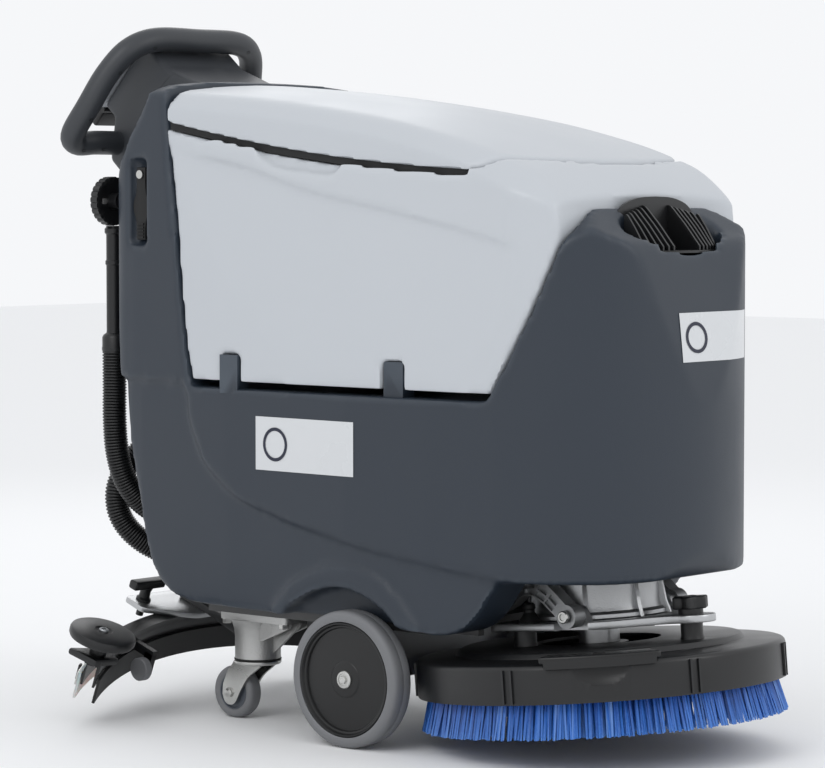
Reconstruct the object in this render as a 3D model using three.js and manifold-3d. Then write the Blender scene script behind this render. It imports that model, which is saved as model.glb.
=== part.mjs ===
import * as THREE from "three";
import { mergeVertices } from "three/addons/utils/BufferGeometryUtils.js";
import Module from "manifold-3d";

// Walk-behind floor scrubber. Millimetres, +X forward, +Y left, +Z up, floor at z = 0.
// The drive axle is at x = 0 while the pieces are placed.
// The last line centres the machine on the origin.

// Driving dimensions.
const gap = 0.3;
const wheelDiameter = 200;
const wheelWidth = 40;
const wheelOuterFace = 262;
const tyreThickness = 16;
const underWheelTop = 18;
const brushDiameter = 530;
const bristleLength = 55.7;
const brushLift = 40.5;
const deckTilt = THREE.MathUtils.degToRad(5.16);
const bodyHalfWidth = 258;
const columnNarrowing = 33;
const cornerRadius = 55;
const bodyLength = 978;
const towerLength = 207;
const batteryLength = 330;
const batteryWidth = 196;
const batteryHeight = 240;
const bayFloor = 33;
const bayHeadroom = 57;
const frameThickness = 15.4;
const frameHalfWidth = 182;
const wall = 9;
const tankWall = 8;
const tankSideHeight = 375;
const slotFall = 74;
const lidThickness = 62;
const sealHeight = 12;
const columnRise = 465;
const casterDiameter = 80;
const casterWidth = 26;
const casterTrack = 143;
const casterTrail = 42;
const casterX = -276;
const handleTube = 38;
const squeegeeRadius = 609;
const squeegeeHalfWidth = 350;
const squeegeeTilt = THREE.MathUtils.degToRad(20.5);
const hoseDiameter = 38;

// Places that follow from them.
const wheelRadius = wheelDiameter / 2;
const wheelInnerFace = wheelOuterFace - wheelWidth;
const coverRadius = brushDiameter / 2 + 3;
const wheelClearance = 16;
const reach = coverRadius + wheelClearance;
const deckX = wheelRadius + Math.sqrt(reach * reach - wheelInnerFace * wheelInnerFace);
const bodyFront = deckX + 180;
const bodyRear = bodyFront - bodyLength;
const towerStart = bodyFront - towerLength;
const frontHalfWidth = bodyHalfWidth - 8;
const underside = wheelRadius + 82;
const frontUnderside = underside + 80;
const bayBottom = underside + bayFloor;
const ledge = bayBottom + batteryHeight + bayHeadroom;
const tankBottom = ledge + 11;
const slotRear = tankBottom + tankSideHeight;
const slotFront = slotRear - slotFall;
const columnTop = ledge + columnRise;
const frameTop = underside - gap;
const frameBottom = frameTop - frameThickness;
const tankHalfWidth = bodyHalfWidth - 8;
const lidHalfWidth = tankHalfWidth - 14;

const machine = new THREE.Group();
const wasm = await Module();
wasm.setup();

// ---------- solids ----------

function solid(geometry) {
  const plain = geometry.clone();
  plain.deleteAttribute("normal");
  plain.deleteAttribute("uv");
  const merged = mergeVertices(plain, 1e-4);
  const vertProperties = Float32Array.from(merged.attributes.position.array);
  const triVerts = Uint32Array.from(merged.index.array);
  return new wasm.Manifold(new wasm.Mesh({ numProp: 3, vertProperties, triVerts }));
}

function geometryOf(shape) {
  const mesh = shape.getMesh();
  const geometry = new THREE.BufferGeometry();
  geometry.setAttribute("position", new THREE.BufferAttribute(mesh.vertProperties, 3));
  geometry.setIndex(new THREE.BufferAttribute(mesh.triVerts, 1));
  geometry.computeVertexNormals();
  return geometry;
}

function join(first, ...others) {
  return others.reduce((whole, piece) => whole.add(piece), first);
}

function cut(first, ...others) {
  return others.reduce((whole, piece) => whole.subtract(piece), first);
}

function shared(first, ...others) {
  return others.reduce((whole, piece) => whole.intersect(piece), first);
}

function outline(points) {
  return new THREE.Shape(points.map(([a, b]) => new THREE.Vector2(a, b)));
}

function extruded(shape, depth, curveSegments = 8) {
  return new THREE.ExtrudeGeometry(shape, { depth, bevelEnabled: false, steps: 1, curveSegments });
}

// A plan outline (x, y), raised from z = low to z = high.
function raised(shape, low, high, segments) {
  return solid(extruded(shape, high - low, segments).translate(0, 0, low));
}

// A side outline (x, z), made as wide as y = left to y = right.
function widened(shape, low, high, segments) {
  return solid(extruded(shape, high - low, segments).translate(0, 0, -high).rotateX(Math.PI / 2));
}

// A front outline (y, z), made as long as x = rear to x = front.
function lengthened(shape, rear, front, segments) {
  const geometry = extruded(shape, front - rear, segments).rotateX(Math.PI / 2).rotateZ(Math.PI / 2);
  return solid(geometry.translate(rear, 0, 0));
}

function block(x0, x1, y0, y1, z0, z1) {
  const geometry = new THREE.BoxGeometry(x1 - x0, y1 - y0, z1 - z0);
  return solid(geometry.translate((x0 + x1) / 2, (y0 + y1) / 2, (z0 + z1) / 2));
}

function post(x, y, radius, low, high, sides = 24) {
  const geometry = new THREE.CylinderGeometry(radius, radius, high - low, sides).rotateX(Math.PI / 2);
  return solid(geometry.translate(x, y, (low + high) / 2));
}

function crossBar(x, z, radius, low, high, sides = 24) {
  const geometry = new THREE.CylinderGeometry(radius, radius, high - low, sides);
  return solid(geometry.translate(x, (low + high) / 2, z));
}

function longBar(y, z, radius, rear, front, sides = 24) {
  const geometry = new THREE.CylinderGeometry(radius, radius, front - rear, sides).rotateZ(Math.PI / 2);
  return solid(geometry.translate((rear + front) / 2, y, z));
}

// A turned piece about the upright axis, from a closed (radius, z) profile.
function turned(profile, sides = 32) {
  const points = profile.map(([radius, z]) => new THREE.Vector2(radius, z));
  points.push(points[0].clone());
  return solid(new THREE.LatheGeometry(points, sides).rotateX(Math.PI / 2));
}

// A wheel part turned about the y axis, from a closed (radius, y) profile.
function wheelTurned(profile, sides = 32) {
  return turned(profile, sides).rotate([-90, 0, 0]);
}

function swept(points, radius, sides, steps, tension = 0.5) {
  const path = new THREE.CatmullRomCurve3(points.map((point) => new THREE.Vector3(...point)));
  path.curveType = "catmullrom";
  path.tension = tension;
  const section = new THREE.Shape();
  section.absarc(0, 0, radius, 0, 2 * Math.PI);
  const corners = section.getSpacedPoints(sides).slice(0, sides);
  const options = { steps, extrudePath: path, bevelEnabled: false };
  return solid(new THREE.ExtrudeGeometry(new THREE.Shape(corners), options));
}

// ---------- finishes ----------

function finish(color, roughness, metalness = 0) {
  return new THREE.MeshStandardMaterial({ color, roughness, metalness });
}

const slate = finish(0x3c4650, 0.6);
const paleGrey = finish(0xccd0d4, 0.45);
const blackPlastic = finish(0x16171a, 0.5);
const greyGrip = finish(0x44474b, 0.6);
const castAluminium = finish(0xa9abad, 0.4, 1);
const steel = finish(0x9fa2a5, 0.35, 1);
const blackSteel = finish(0x232427, 0.5, 1);
const tyreGrey = finish(0x6d6f73, 0.8);
const blueBristle = finish(0x1c5bbf, 0.6);
const rubber = finish(0x101113, 0.8);
const clearRubber = finish(0xc9cbc8, 0.3);
const redPlastic = finish(0xb02a24, 0.4);
const greenPlastic = finish(0x3c9a4a, 0.4);

function piece(name, shape, material, parent = machine) {
  const mesh = new THREE.Mesh(geometryOf(shape), material);
  mesh.name = name;
  parent.add(mesh);
}

// ---------- body ----------

const towerFace = [[4, 3], [30, 46], [60, 103], [93, 186], [106, 234], [107, 274]];
const towerFaceLine = towerFace.map(([x, z]) => [towerStart + x, ledge + z]);
const columnFace = [[193, 2], [182, 55], [172, 130], [160, 235], [146, 341], [137, columnRise]];
const columnFaceLine = columnFace.map(([x, z]) => [bodyRear + x, ledge + z]);
const recessDepth = 81;
const recessHalfWidth = 170;
const vacRecessHalfWidth = 82;
const vacRecessDepth = 134;
const vacBottom = ledge + 88;
const vacTop = ledge + 290;

// Where the column's front face stands at a given height.
function columnFaceAt(z) {
  const next = columnFaceLine.findIndex(([, height]) => height > z);
  const [x0, z0] = columnFaceLine[next - 1];
  const [x1, z1] = columnFaceLine[next];
  return x0 + ((x1 - x0) * (z - z0)) / (z1 - z0);
}

function bodyPlan(inset) {
  const rear = bodyRear + inset;
  const rearHalf = bodyHalfWidth - columnNarrowing - inset;
  const frontHalf = frontHalfWidth - inset;
  const shape = new THREE.Shape();
  shape.moveTo(rear, -(rearHalf - cornerRadius));
  shape.quadraticCurveTo(rear, -rearHalf, rear + cornerRadius, -rearHalf);
  shape.lineTo(0, -(bodyHalfWidth - inset));
  shape.lineTo(towerStart, -frontHalf);
  shape.absellipse(towerStart, 0, towerLength - inset, frontHalf, -Math.PI / 2, Math.PI / 2, false);
  shape.lineTo(0, bodyHalfWidth - inset);
  shape.lineTo(rear + cornerRadius, rearHalf);
  shape.quadraticCurveTo(rear, rearHalf, rear, rearHalf - cornerRadius);
  return shape;
}

// The slanted back of the column's top, which carries the console.
const slopeTop = [bodyRear + 111, columnTop - 7];
const slopeFoot = [bodyRear, columnTop - 165];

function hullSide() {
  const shape = new THREE.Shape();
  shape.moveTo(...columnFaceLine.at(-1));
  shape.lineTo(...slopeTop);
  shape.lineTo(...slopeFoot);
  shape.lineTo(bodyRear, ledge + 228);
  shape.quadraticCurveTo(bodyRear + 6, ledge + 28, bodyRear + 54, ledge - 150);
  shape.quadraticCurveTo(bodyRear + 89, underside + 8, bodyRear + 191, underside);
  shape.lineTo(deckX - 77, underside);
  shape.lineTo(deckX - 9, frontUnderside);
  shape.lineTo(bodyFront - 40, frontUnderside);
  shape.quadraticCurveTo(bodyFront, frontUnderside, bodyFront, frontUnderside + 38);
  shape.lineTo(bodyFront, ledge);
  columnFaceLine.forEach(([x, z], index) => shape.lineTo(x, index === 0 ? ledge : z));
  return shape;
}

function crownFront(half) {
  const low = underside - 10;
  const crown = [[half, columnTop - 40], [half - 58, columnTop - 14], [0, columnTop + 2]];
  const mirrored = [[58 - half, columnTop - 14], [-half, columnTop - 40], [-half, low]];
  return outline([[half, low], ...crown, ...mirrored]);
}

function towerSide(inset) {
  const front = bodyFront - inset;
  const top = ledge + 274 - inset;
  const shape = new THREE.Shape();
  shape.moveTo(towerStart + inset, ledge - 1);
  shape.lineTo(front, ledge - 1);
  shape.lineTo(front - 16, ledge + 128);
  shape.lineTo(front - 28, ledge + 188);
  shape.quadraticCurveTo(front - 34, ledge + 226, front - 75, ledge + 240);
  shape.lineTo(towerStart + 107 + inset, top);
  [...towerFaceLine].reverse().slice(1).forEach(([x, z]) => shape.lineTo(x + inset, z));
  return shape;
}

function towerFront(inset) {
  const half = frontHalfWidth - inset;
  const right = [[half, ledge - 2], [half - 12, ledge + 128], [half - 26, ledge + 213], [115, ledge + 276]];
  return outline([...right, ...right.map(([y, z]) => [-y, z]).reverse()]);
}

const mouthX = bodyFront - 66;
const mouthLength = 34;
const mouthHalfWidth = 108;
const grilleSeat = ledge + 206;
const bayRear = -batteryLength + 85 - 60;
const bayHalfWidth = batteryWidth + 14;
const armPivot = [140, underside + 14];
const deckRecess = { rear: armPivot[0] - 34, front: deckX + 132, half: 168, top: underside + 142 };

function mouth(margin, low, high) {
  const shape = new THREE.Shape();
  shape.absellipse(mouthX, 0, mouthLength - margin, mouthHalfWidth - margin, 0, 2 * Math.PI, false);
  return raised(shape, low, high);
}

function solutionCavity() {
  const lower = deckRecess.top + wall + 16;
  const rear = towerStart + wall + 6;
  const base = [[rear, lower], [bodyFront - wall, lower], [bodyFront - wall, ledge + 5], [rear, ledge + 5]];
  const tank = widened(outline(base), -bodyHalfWidth, bodyHalfWidth);
  const inside = widened(towerSide(wall), -bodyHalfWidth, bodyHalfWidth);
  const upper = shared(inside, lengthened(towerFront(wall), 0, bodyFront));
  const capped = cut(upper, block(0, bodyFront, -bodyHalfWidth, bodyHalfWidth, grilleSeat - 5, columnTop));
  return shared(join(tank, capped), raised(bodyPlan(wall), 0, columnTop));
}

function wheelArch(side) {
  const inner = wheelInnerFace - 10;
  const far = bodyHalfWidth + 20;
  const [low, high] = side > 0 ? [inner, far] : [-far, -inner];
  return crossBar(0, wheelRadius, wheelRadius + underWheelTop, low, high, 40);
}

const latchPivot = [-448, ledge + 323];
const latchHalfWidth = 17;
const latchLength = 105;

function latchRecess() {
  const [x, z] = latchPivot;
  const outside = bodyHalfWidth;
  const half = latchHalfWidth + 3;
  return block(x - half, x + half, -outside, -outside + 52, z - latchLength - 6, z + 20);
}

// Tabs that stand in the tank's skirt on the right, and low pads under its hinge side on the left.
const tabXs = [-240, 82];
const tabHalf = 18;
const tabHeight = 40;
const notchGap = 3;

function tankRests() {
  return tabXs.flatMap((x) => [
    block(
      x - tabHalf, x + tabHalf, 5 - tankHalfWidth, 30 - tankHalfWidth,
      ledge - 1, tankBottom + tabHeight - gap,
    ),
    block(x - tabHalf, x + tabHalf, tankHalfWidth - 50, tankHalfWidth - 14, ledge - 1, tankBottom - gap),
  ]);
}

function tankNotches() {
  return tabXs.map((x) => block(
    x - tabHalf - notchGap, x + tabHalf + notchGap, -bodyHalfWidth, 30 + notchGap - tankHalfWidth,
    tankBottom - 1, tankBottom + tabHeight,
  ));
}

function lowerBody() {
  const wide = bodyHalfWidth + 10;
  const hull = shared(
    widened(hullSide(), -wide, wide),
    lengthened(crownFront(bodyHalfWidth), bodyRear - 10, bodyFront + 10),
  );
  const tower = shared(widened(towerSide(0), -wide, wide), lengthened(towerFront(0), 0, bodyFront + 10));
  const shell = shared(join(hull, tower), raised(bodyPlan(0), 0, columnTop + 20, 12));
  const bay = block(bayRear, 92, -bayHalfWidth, bayHalfWidth, bayBottom, ledge + 1);
  const room = block(
    deckRecess.rear, deckRecess.front, -deckRecess.half, deckRecess.half, underside - 10, deckRecess.top,
  );
  const deckRoom = shared(room, raised(bodyPlan(wall), 0, columnTop));
  const hoseRoom = block(
    bodyRear - 5, bodyRear + recessDepth, -recessHalfWidth, recessHalfWidth, underside + 88, ledge + 48,
  );
  const vacRoom = block(
    bodyRear - 5, bodyRear + vacRecessDepth, -vacRecessHalfWidth, vacRecessHalfWidth, vacBottom, vacTop,
  );
  return cut(
    join(shell, ...tankRests()), bay, deckRoom, hoseRoom, vacRoom, solutionCavity(), latchRecess(),
    mouth(0, grilleSeat, columnTop), mouth(8, grilleSeat - 6, grilleSeat + 1), wheelArch(1), wheelArch(-1),
  );
}

function fillerGrille() {
  const plate = mouth(0.5, grilleSeat + gap, grilleSeat + 9);
  const slots = [-78, -58, -38, -18, 18, 38, 58, 78].map((y) => {
    const reachX = mouthLength * Math.sqrt(1 - (y / mouthHalfWidth) ** 2) - 8;
    return block(mouthX - reachX, mouthX + reachX, y - 5, y + 5, grilleSeat - 5, grilleSeat + 15);
  });
  return cut(plate, ...slots);
}

function batteryBlock(side) {
  const inner = side * 4;
  const outer = side * (4 + batteryWidth);
  const top = bayBottom + batteryHeight - 24;
  const low = bayBottom + gap;
  const box = block(85 - batteryLength, 85, Math.min(inner, outer), Math.max(inner, outer), low, top);
  const lid = block(
    93 - batteryLength, 77, Math.min(inner, outer) + 6, Math.max(inner, outer) - 6, top - 1, top + 12,
  );
  const posts = [40, 85 - batteryLength + 45].map((x) => post(x, (inner + outer) / 2, 9, top, top + 24, 12));
  return join(box, lid, ...posts);
}

function vacuumMotor() {
  const x = bodyRear + 66;
  const low = vacBottom + gap;
  const profile = [
    [0, low], [56, low], [56, low + 62], [40, low + 70], [40, low + 128], [30, low + 140], [0, low + 140],
  ];
  return turned(profile, 24).translate([x, 0, 0]);
}

function rearCover() {
  const face = bodyRear - gap;
  const half = vacRecessHalfWidth + 14;
  const plate = block(face - 6, face, -half, half, vacBottom - 12, ledge + 300);
  const slots = [0, 1, 2, 3, 4].map((row) => {
    const z = vacBottom + 30 + row * 22;
    return block(face - 10, face + 5, -50, 50, z, z + 9);
  });
  return cut(plate, ...slots);
}

function latchStrap() {
  const [x, z] = latchPivot;
  const root = -bodyHalfWidth + 51.7;
  const shape = new THREE.Shape();
  shape.moveTo(x - 9, z + 8);
  shape.lineTo(x + 9, z + 8);
  shape.lineTo(x + 9, z - 14);
  shape.quadraticCurveTo(x + 9, z - 34, x + latchHalfWidth, z - 48);
  shape.quadraticCurveTo(x + latchHalfWidth, z - 66, x + 10, z - 80);
  shape.lineTo(x + 10, z - latchLength);
  shape.lineTo(x - 10, z - latchLength);
  shape.lineTo(x - 10, z - 80);
  shape.quadraticCurveTo(x - latchHalfWidth, z - 66, x - latchHalfWidth, z - 48);
  shape.quadraticCurveTo(x - 9, z - 34, x - 9, z - 14);
  return widened(shape, root - 12, root, 4);
}

piece("lower_body", lowerBody(), slate);
piece("filler_grille", fillerGrille(), blackPlastic);
piece("battery_left", batteryBlock(1), blackPlastic);
piece("battery_right", batteryBlock(-1), blackPlastic);
piece("vacuum_motor", vacuumMotor(), steel);
piece("rear_cover", rearCover(), blackPlastic);
piece("latch_strap", latchStrap(), rubber);

// ---------- chassis, drive and casters ----------

const gearCaseRadius = 34;
const shaftRadius = 9;
const armInner = 113;
const armOuter = 137;
const earInner = armOuter + 1;
const earOuter = earInner + 12;
const liftPivot = [-323, underside - 40];
const armTubeHalf = 62;

function pivotEar(side) {
  const [x, z] = armPivot;
  const [low, high] = side > 0 ? [earInner, earOuter] : [-earOuter, -earInner];
  const shape = outline([[x - 22, frameBottom], [x + 22, frameBottom], [x + 16, z + 16], [x - 16, z + 16]]);
  return widened(shape, low, high);
}

function baseFrame() {
  const rear = casterX - 66;
  const front = armPivot[0] + 22;
  const plate = block(rear, front, -frameHalfWidth, frameHalfWidth, frameBottom, frameTop);
  const shoulders = [-1, 1].map((side) => {
    const near = side > 0 ? earOuter : -frameHalfWidth - 1;
    const far = side > 0 ? frameHalfWidth + 1 : -earOuter;
    return block(deckRecess.rear + 2, front + 1, near, far, frameBottom - 2, frameTop + 2);
  });
  const opening = block(deckRecess.rear + 2, front + 1, -armOuter, armOuter, frameBottom - 3, frameTop + 3);
  const rails = [-1, 1].map((side) => {
    const near = side > 0 ? 132 : -140;
    return block(casterX + 98, -100, near, near + 8, frameBottom - 22, frameBottom + 1);
  });
  const [liftX, liftZ] = liftPivot;
  const hangers = [-1, 1].map((side) => {
    const near = side > 0 ? armTubeHalf + 1 : -armTubeHalf - 9;
    const shape = outline([[liftX - 15, liftZ - 12], [liftX + 15, liftZ - 12], [liftX + 30, frameBottom + 1],
      [liftX - 15, frameBottom + 1]]);
    return widened(shape, near, near + 8);
  });
  const pin = crossBar(liftX, liftZ, 6.5, -armTubeHalf - 8, armTubeHalf + 8, 16);
  const ears = [pivotEar(1), pivotEar(-1)];
  const bare = join(cut(plate, ...shoulders, opening), ...rails, ...ears, ...hangers, pin);
  return cut(bare, crossBar(...armPivot, shaftRadius + 0.5, -earOuter - 5, earOuter + 5));
}

function transaxle() {
  const top = frameBottom - gap;
  const beam = block(-92, -26, -wheelInnerFace + 8, wheelInnerFace - 8, wheelRadius - 16, top);
  const cases = [-1, 1].map((side) => {
    const inner = side * (wheelInnerFace - 70);
    const outer = side * (wheelInnerFace - gap);
    return crossBar(0, wheelRadius, gearCaseRadius, Math.min(inner, outer), Math.max(inner, outer), 24);
  });
  const motor = longBar(0, wheelRadius + 18, 42, -200, -60);
  return join(beam, ...cases, motor);
}

function driveTyre() {
  const inner = wheelRadius - tyreThickness;
  const edge = wheelRadius - 4;
  return wheelTurned([
    [inner, -wheelWidth / 2], [edge, -wheelWidth / 2], [wheelRadius, -wheelWidth / 2 + 4],
    [wheelRadius, wheelWidth / 2 - 4], [edge, wheelWidth / 2], [inner, wheelWidth / 2],
  ], 32);
}

function driveHub() {
  const rim = wheelRadius - tyreThickness - gap;
  const half = wheelWidth / 2;
  return wheelTurned([
    [0, -half], [rim, -half], [rim, half - 1], [rim - 4, half - 1], [rim - 6, half - 9],
    [26, half - 7], [24, half - 5], [0, half - 5],
  ], 32);
}

function casterHousing() {
  const top = frameBottom - gap;
  const plate = block(-46, 46, -38, 38, top - 10, top);
  const barrel = post(0, 0, 35, casterDiameter + 16, top - 9, 28);
  const gusset = outline([[30, top - 9], [92, top - 9], [92, top - 14], [30, top - 62]]);
  const shelf = block(30, 92, -30, 30, top - 10, top);
  return join(plate, barrel, shelf, widened(gusset, -4, 4));
}

function casterFork() {
  const top = casterDiameter + 15.5;
  const plate = post(0, 0, 36, top - 9, top, 28);
  const axle = casterDiameter / 2;
  const cheekInner = casterWidth / 2 + 1.5;
  const cheek = new THREE.Shape();
  cheek.moveTo(-casterTrail - 14, axle - 8);
  cheek.quadraticCurveTo(-casterTrail, axle - 22, -casterTrail + 14, axle - 8);
  cheek.lineTo(18, top - 4);
  cheek.lineTo(-30, top - 4);
  cheek.lineTo(-casterTrail - 12, axle + 18);
  const cheeks = [-1, 1].map((side) => {
    const near = side > 0 ? cheekInner : -cheekInner - 4;
    return widened(cheek, near, near + 4, 5);
  });
  const bore = crossBar(-casterTrail, axle, 5.4, -40, 40, 20);
  return cut(join(plate, ...cheeks), bore);
}

function casterTyre() {
  const radius = casterDiameter / 2;
  const half = casterWidth / 2;
  return wheelTurned([
    [radius - 13, -half + 1], [radius - 5, -half], [radius, -half + 7], [radius, half - 7],
    [radius - 5, half], [radius - 13, half - 1],
  ], 20);
}

function casterHub() {
  const rim = casterDiameter / 2 - 13 - gap;
  const half = casterWidth / 2;
  const pin = half + 1.5 + 4;
  return wheelTurned([
    [0, -pin], [5, -pin], [5, -half - 0.5], [9, -half], [9, -half + 3], [rim, -half + 3], [rim, half - 3],
    [9, half - 3], [9, half], [5, half + 0.5], [5, pin], [0, pin],
  ], 20);
}

function turnedGroup(x, y, z) {
  const group = new THREE.Group();
  group.position.set(x, y, z);
  machine.add(group);
  return group;
}

piece("base_frame", baseFrame(), blackSteel);
piece("transaxle", transaxle(), castAluminium);
for (const [side, label] of [[-1, "right"], [1, "left"]]) {
  const wheel = turnedGroup(0, side * (wheelOuterFace - wheelWidth / 2), wheelRadius);
  wheel.rotation.z = side > 0 ? 0 : Math.PI;
  piece(`drive_tyre_${label}`, driveTyre(), tyreGrey, wheel);
  piece(`drive_hub_${label}`, driveHub(), blackPlastic, wheel);
  const caster = turnedGroup(casterX, side * casterTrack, 0);
  piece(`caster_housing_${label}`, casterHousing(), castAluminium, caster);
  piece(`caster_fork_${label}`, casterFork(), steel, caster);
  const roller = new THREE.Group();
  roller.position.set(-casterTrail, 0, casterDiameter / 2);
  caster.add(roller);
  piece(`caster_tyre_${label}`, casterTyre(), tyreGrey, roller);
  piece(`caster_hub_${label}`, casterHub(), tyreGrey, roller);
}

// ---------- recovery tank and lid ----------

const faceGap = 3;
const lidFrontSide = towerStart - 45;
const lidFrontArc = 92;
const lidRear = columnFaceAt(slotRear) + faceGap + 1;

// Height of the slot between the tank and its lid at a given x.
function slotHeight(x) {
  const share = (x - lidRear) / (lidFrontSide - lidRear);
  const sag = 12 * 4 * share * (1 - share);
  return slotRear - slotFall * share - Math.max(sag, 0);
}

function slotLine(offset) {
  return [0, 0.34, 0.67, 1].map((share) => {
    const x = lidRear + share * (lidFrontSide - lidRear);
    return [x, slotHeight(x) + offset];
  });
}

function lidPlan(grow) {
  const half = lidHalfWidth + grow;
  const shape = new THREE.Shape();
  shape.moveTo(lidRear - grow - 30, -half);
  shape.lineTo(lidFrontSide, -half);
  shape.absellipse(lidFrontSide, 0, lidFrontArc + grow, half, -Math.PI / 2, Math.PI / 2, false);
  shape.lineTo(lidRear - grow - 30, half);
  return shape;
}

function tankFront(inset) {
  const foot = tankHalfWidth - inset;
  const top = lidHalfWidth - inset;
  const high = columnTop;
  return outline([[foot, tankBottom - 20], [foot, tankBottom + 25], [top, high], [-top, high],
    [-foot, tankBottom + 25], [-foot, tankBottom - 20]]);
}

const noseTop = [towerStart + 102 - faceGap, ledge + 276];

function tankSide() {
  const shape = new THREE.Shape();
  shape.moveTo(columnFaceLine[0][0] + faceGap, tankBottom);
  shape.lineTo(towerFaceLine[0][0] - faceGap, tankBottom);
  towerFaceLine.slice(1).forEach(([x, z]) => shape.lineTo(x - faceGap, z));
  shape.lineTo(...noseTop);
  shape.quadraticCurveTo(towerStart + 95, ledge + 322, lidFrontSide + lidFrontArc, slotFront + 29);
  shape.lineTo(lidFrontSide - 20, slotFront + 66);
  shape.lineTo(lidFrontSide - 20, slotHeight(lidFrontSide - 20));
  slotLine(0).reverse().slice(1).forEach(([x, z]) => shape.lineTo(x, z));
  columnFaceLine.slice(1, 5).reverse().forEach(([x, z]) => shape.lineTo(x + faceGap, z));
  return shape;
}

function tankRoom() {
  const rear = columnFaceLine[0][0] + faceGap + tankWall;
  const shape = outline([
    [rear, tankBottom + tankWall], [towerFaceLine[0][0] - 12, tankBottom + tankWall],
    [towerStart + 70, ledge + 190], [towerStart + 70, slotFront - 22], [lidFrontSide - 22, slotFront - 10],
    [lidFrontSide - 22, slotRear + 20], [lidRear + 22, slotRear + 20], [rear - 18, ledge + 240],
  ]);
  const wide = widened(shape, -tankHalfWidth, tankHalfWidth);
  return shared(wide, lengthened(tankFront(tankWall + notchGap + 30), bodyRear, bodyFront));
}

function recoveryTank() {
  const wide = tankHalfWidth + 5;
  const body = shared(
    widened(tankSide(), -wide, wide),
    lengthened(tankFront(0), bodyRear, bodyFront),
    raised(bodyPlan(faceGap), 0, columnTop),
  );
  const plane = outline([
    ...slotLine(0), [lidFrontSide + lidFrontArc + 10, slotFront - 12],
    [lidFrontSide + lidFrontArc + 10, columnTop], [lidRear - 20, columnTop], [lidRear - 20, slotRear + 1],
  ]);
  const lidRoom = shared(raised(lidPlan(faceGap), 0, columnTop + 50), widened(plane, -wide, wide));
  const hingeRelief = block(
    lidFrontSide - 25, lidFrontSide + 40, lidHalfWidth - 4, tankHalfWidth, slotFront + 42, columnTop,
  );
  return cut(body, lidRoom, tankRoom(), hingeRelief, ...tankNotches());
}

function floatCage() {
  const low = tankBottom + tankWall + gap;
  const profile = [
    [0, low], [34, low], [34, low + 5], [20, low + 5], [20, low + 190], [34, low + 196],
    [34, low + 290], [0, low + 290],
  ];
  return turned(profile, 20).translate([bodyRear + 271, 0, 0]);
}

function lidSeal() {
  const band = outline([...slotLine(gap), ...slotLine(sealHeight - gap).reverse()]);
  const outer = shared(widened(band, -lidHalfWidth, lidHalfWidth), raised(lidPlan(-8), 0, columnTop + 50));
  const half = lidHalfWidth - 19;
  const core = block(lidRear + 14, lidFrontSide - 14, -half, half, 0, columnTop + 50);
  const inner = shared(core, raised(lidPlan(-19), 0, columnTop + 50));
  return cut(outer, inner);
}

function tankLid() {
  const top = slotRear + sealHeight + lidThickness;
  const tip = lidFrontSide + lidFrontArc;
  const shape = new THREE.Shape();
  shape.moveTo(lidRear, slotRear + sealHeight);
  slotLine(sealHeight).slice(1).forEach(([x, z]) => shape.lineTo(x, z));
  shape.lineTo(tip, slotFront + 8);
  shape.lineTo(tip, slotFront + 27);
  shape.quadraticCurveTo(lidRear + 340, top - 6, lidRear, top - 2);
  const outer = shared(widened(shape, -lidHalfWidth, lidHalfWidth), raised(lidPlan(0), 0, columnTop + 80));
  const crown = outline([
    [lidHalfWidth, ledge], [lidHalfWidth, top - 40], [lidHalfWidth - 40, top - 14], [0, top],
    [40 - lidHalfWidth, top - 14], [-lidHalfWidth, top - 40], [-lidHalfWidth, ledge],
  ]);
  const under = outline([
    ...slotLine(sealHeight - 5).map(([x, z], index) => [x + [16, 0, 0, -16][index], z]),
    [lidFrontSide - 16, slotFront + 32], [lidRear + 200, slotRear + 18], [lidRear + 16, slotRear + 34],
  ]);
  const hollow = widened(under, -lidHalfWidth + 16, lidHalfWidth - 16);
  return cut(shared(outer, lengthened(crown, bodyRear, bodyFront)), hollow);
}

piece("recovery_tank", recoveryTank(), paleGrey);
piece("float_cage", floatCage(), blackPlastic);
piece("lid_seal", lidSeal(), rubber);
piece("tank_lid", tankLid(), paleGrey);

// ---------- console, handle and rear hoses ----------

const consoleTilt = THREE.MathUtils.degToRad(-48);
const consoleTop = [bodyRear - 39, columnTop + 73];
const panelLength = 150;
const panelHalfWidth = 112;
const neckHalfWidth = 92;

// A console point, given along the panel (back and down) and out of it (back and up), as (x, z).
function onConsole(along, out) {
  const x = consoleTop[0] - along * Math.cos(consoleTilt) + out * Math.sin(consoleTilt);
  const z = consoleTop[1] + along * Math.sin(consoleTilt) + out * Math.cos(consoleTilt);
  return [x, z];
}

function consoleNeck() {
  const run = [slopeFoot[0] - slopeTop[0], slopeFoot[1] - slopeTop[1]];
  const length = Math.hypot(...run);
  const lift = [(run[1] / length) * gap * 1.5, (-run[0] / length) * gap * 1.5];
  const slope = (share) => [slopeTop[0] + run[0] * share + lift[0], slopeTop[1] + run[1] * share + lift[1]];
  const shape = outline([
    slope(0.04), [bodyRear + 58, columnTop + 2], [bodyRear + 2, columnTop + 24], onConsole(10, -gap),
    onConsole(panelLength - 6, -gap), onConsole(panelLength - 6, -30),
    [consoleTop[0] - 84, columnTop - 122], [consoleTop[0] - 52, columnTop - 150], slope(0.96),
  ]);
  return widened(shape, -neckHalfWidth, neckHalfWidth);
}

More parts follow.
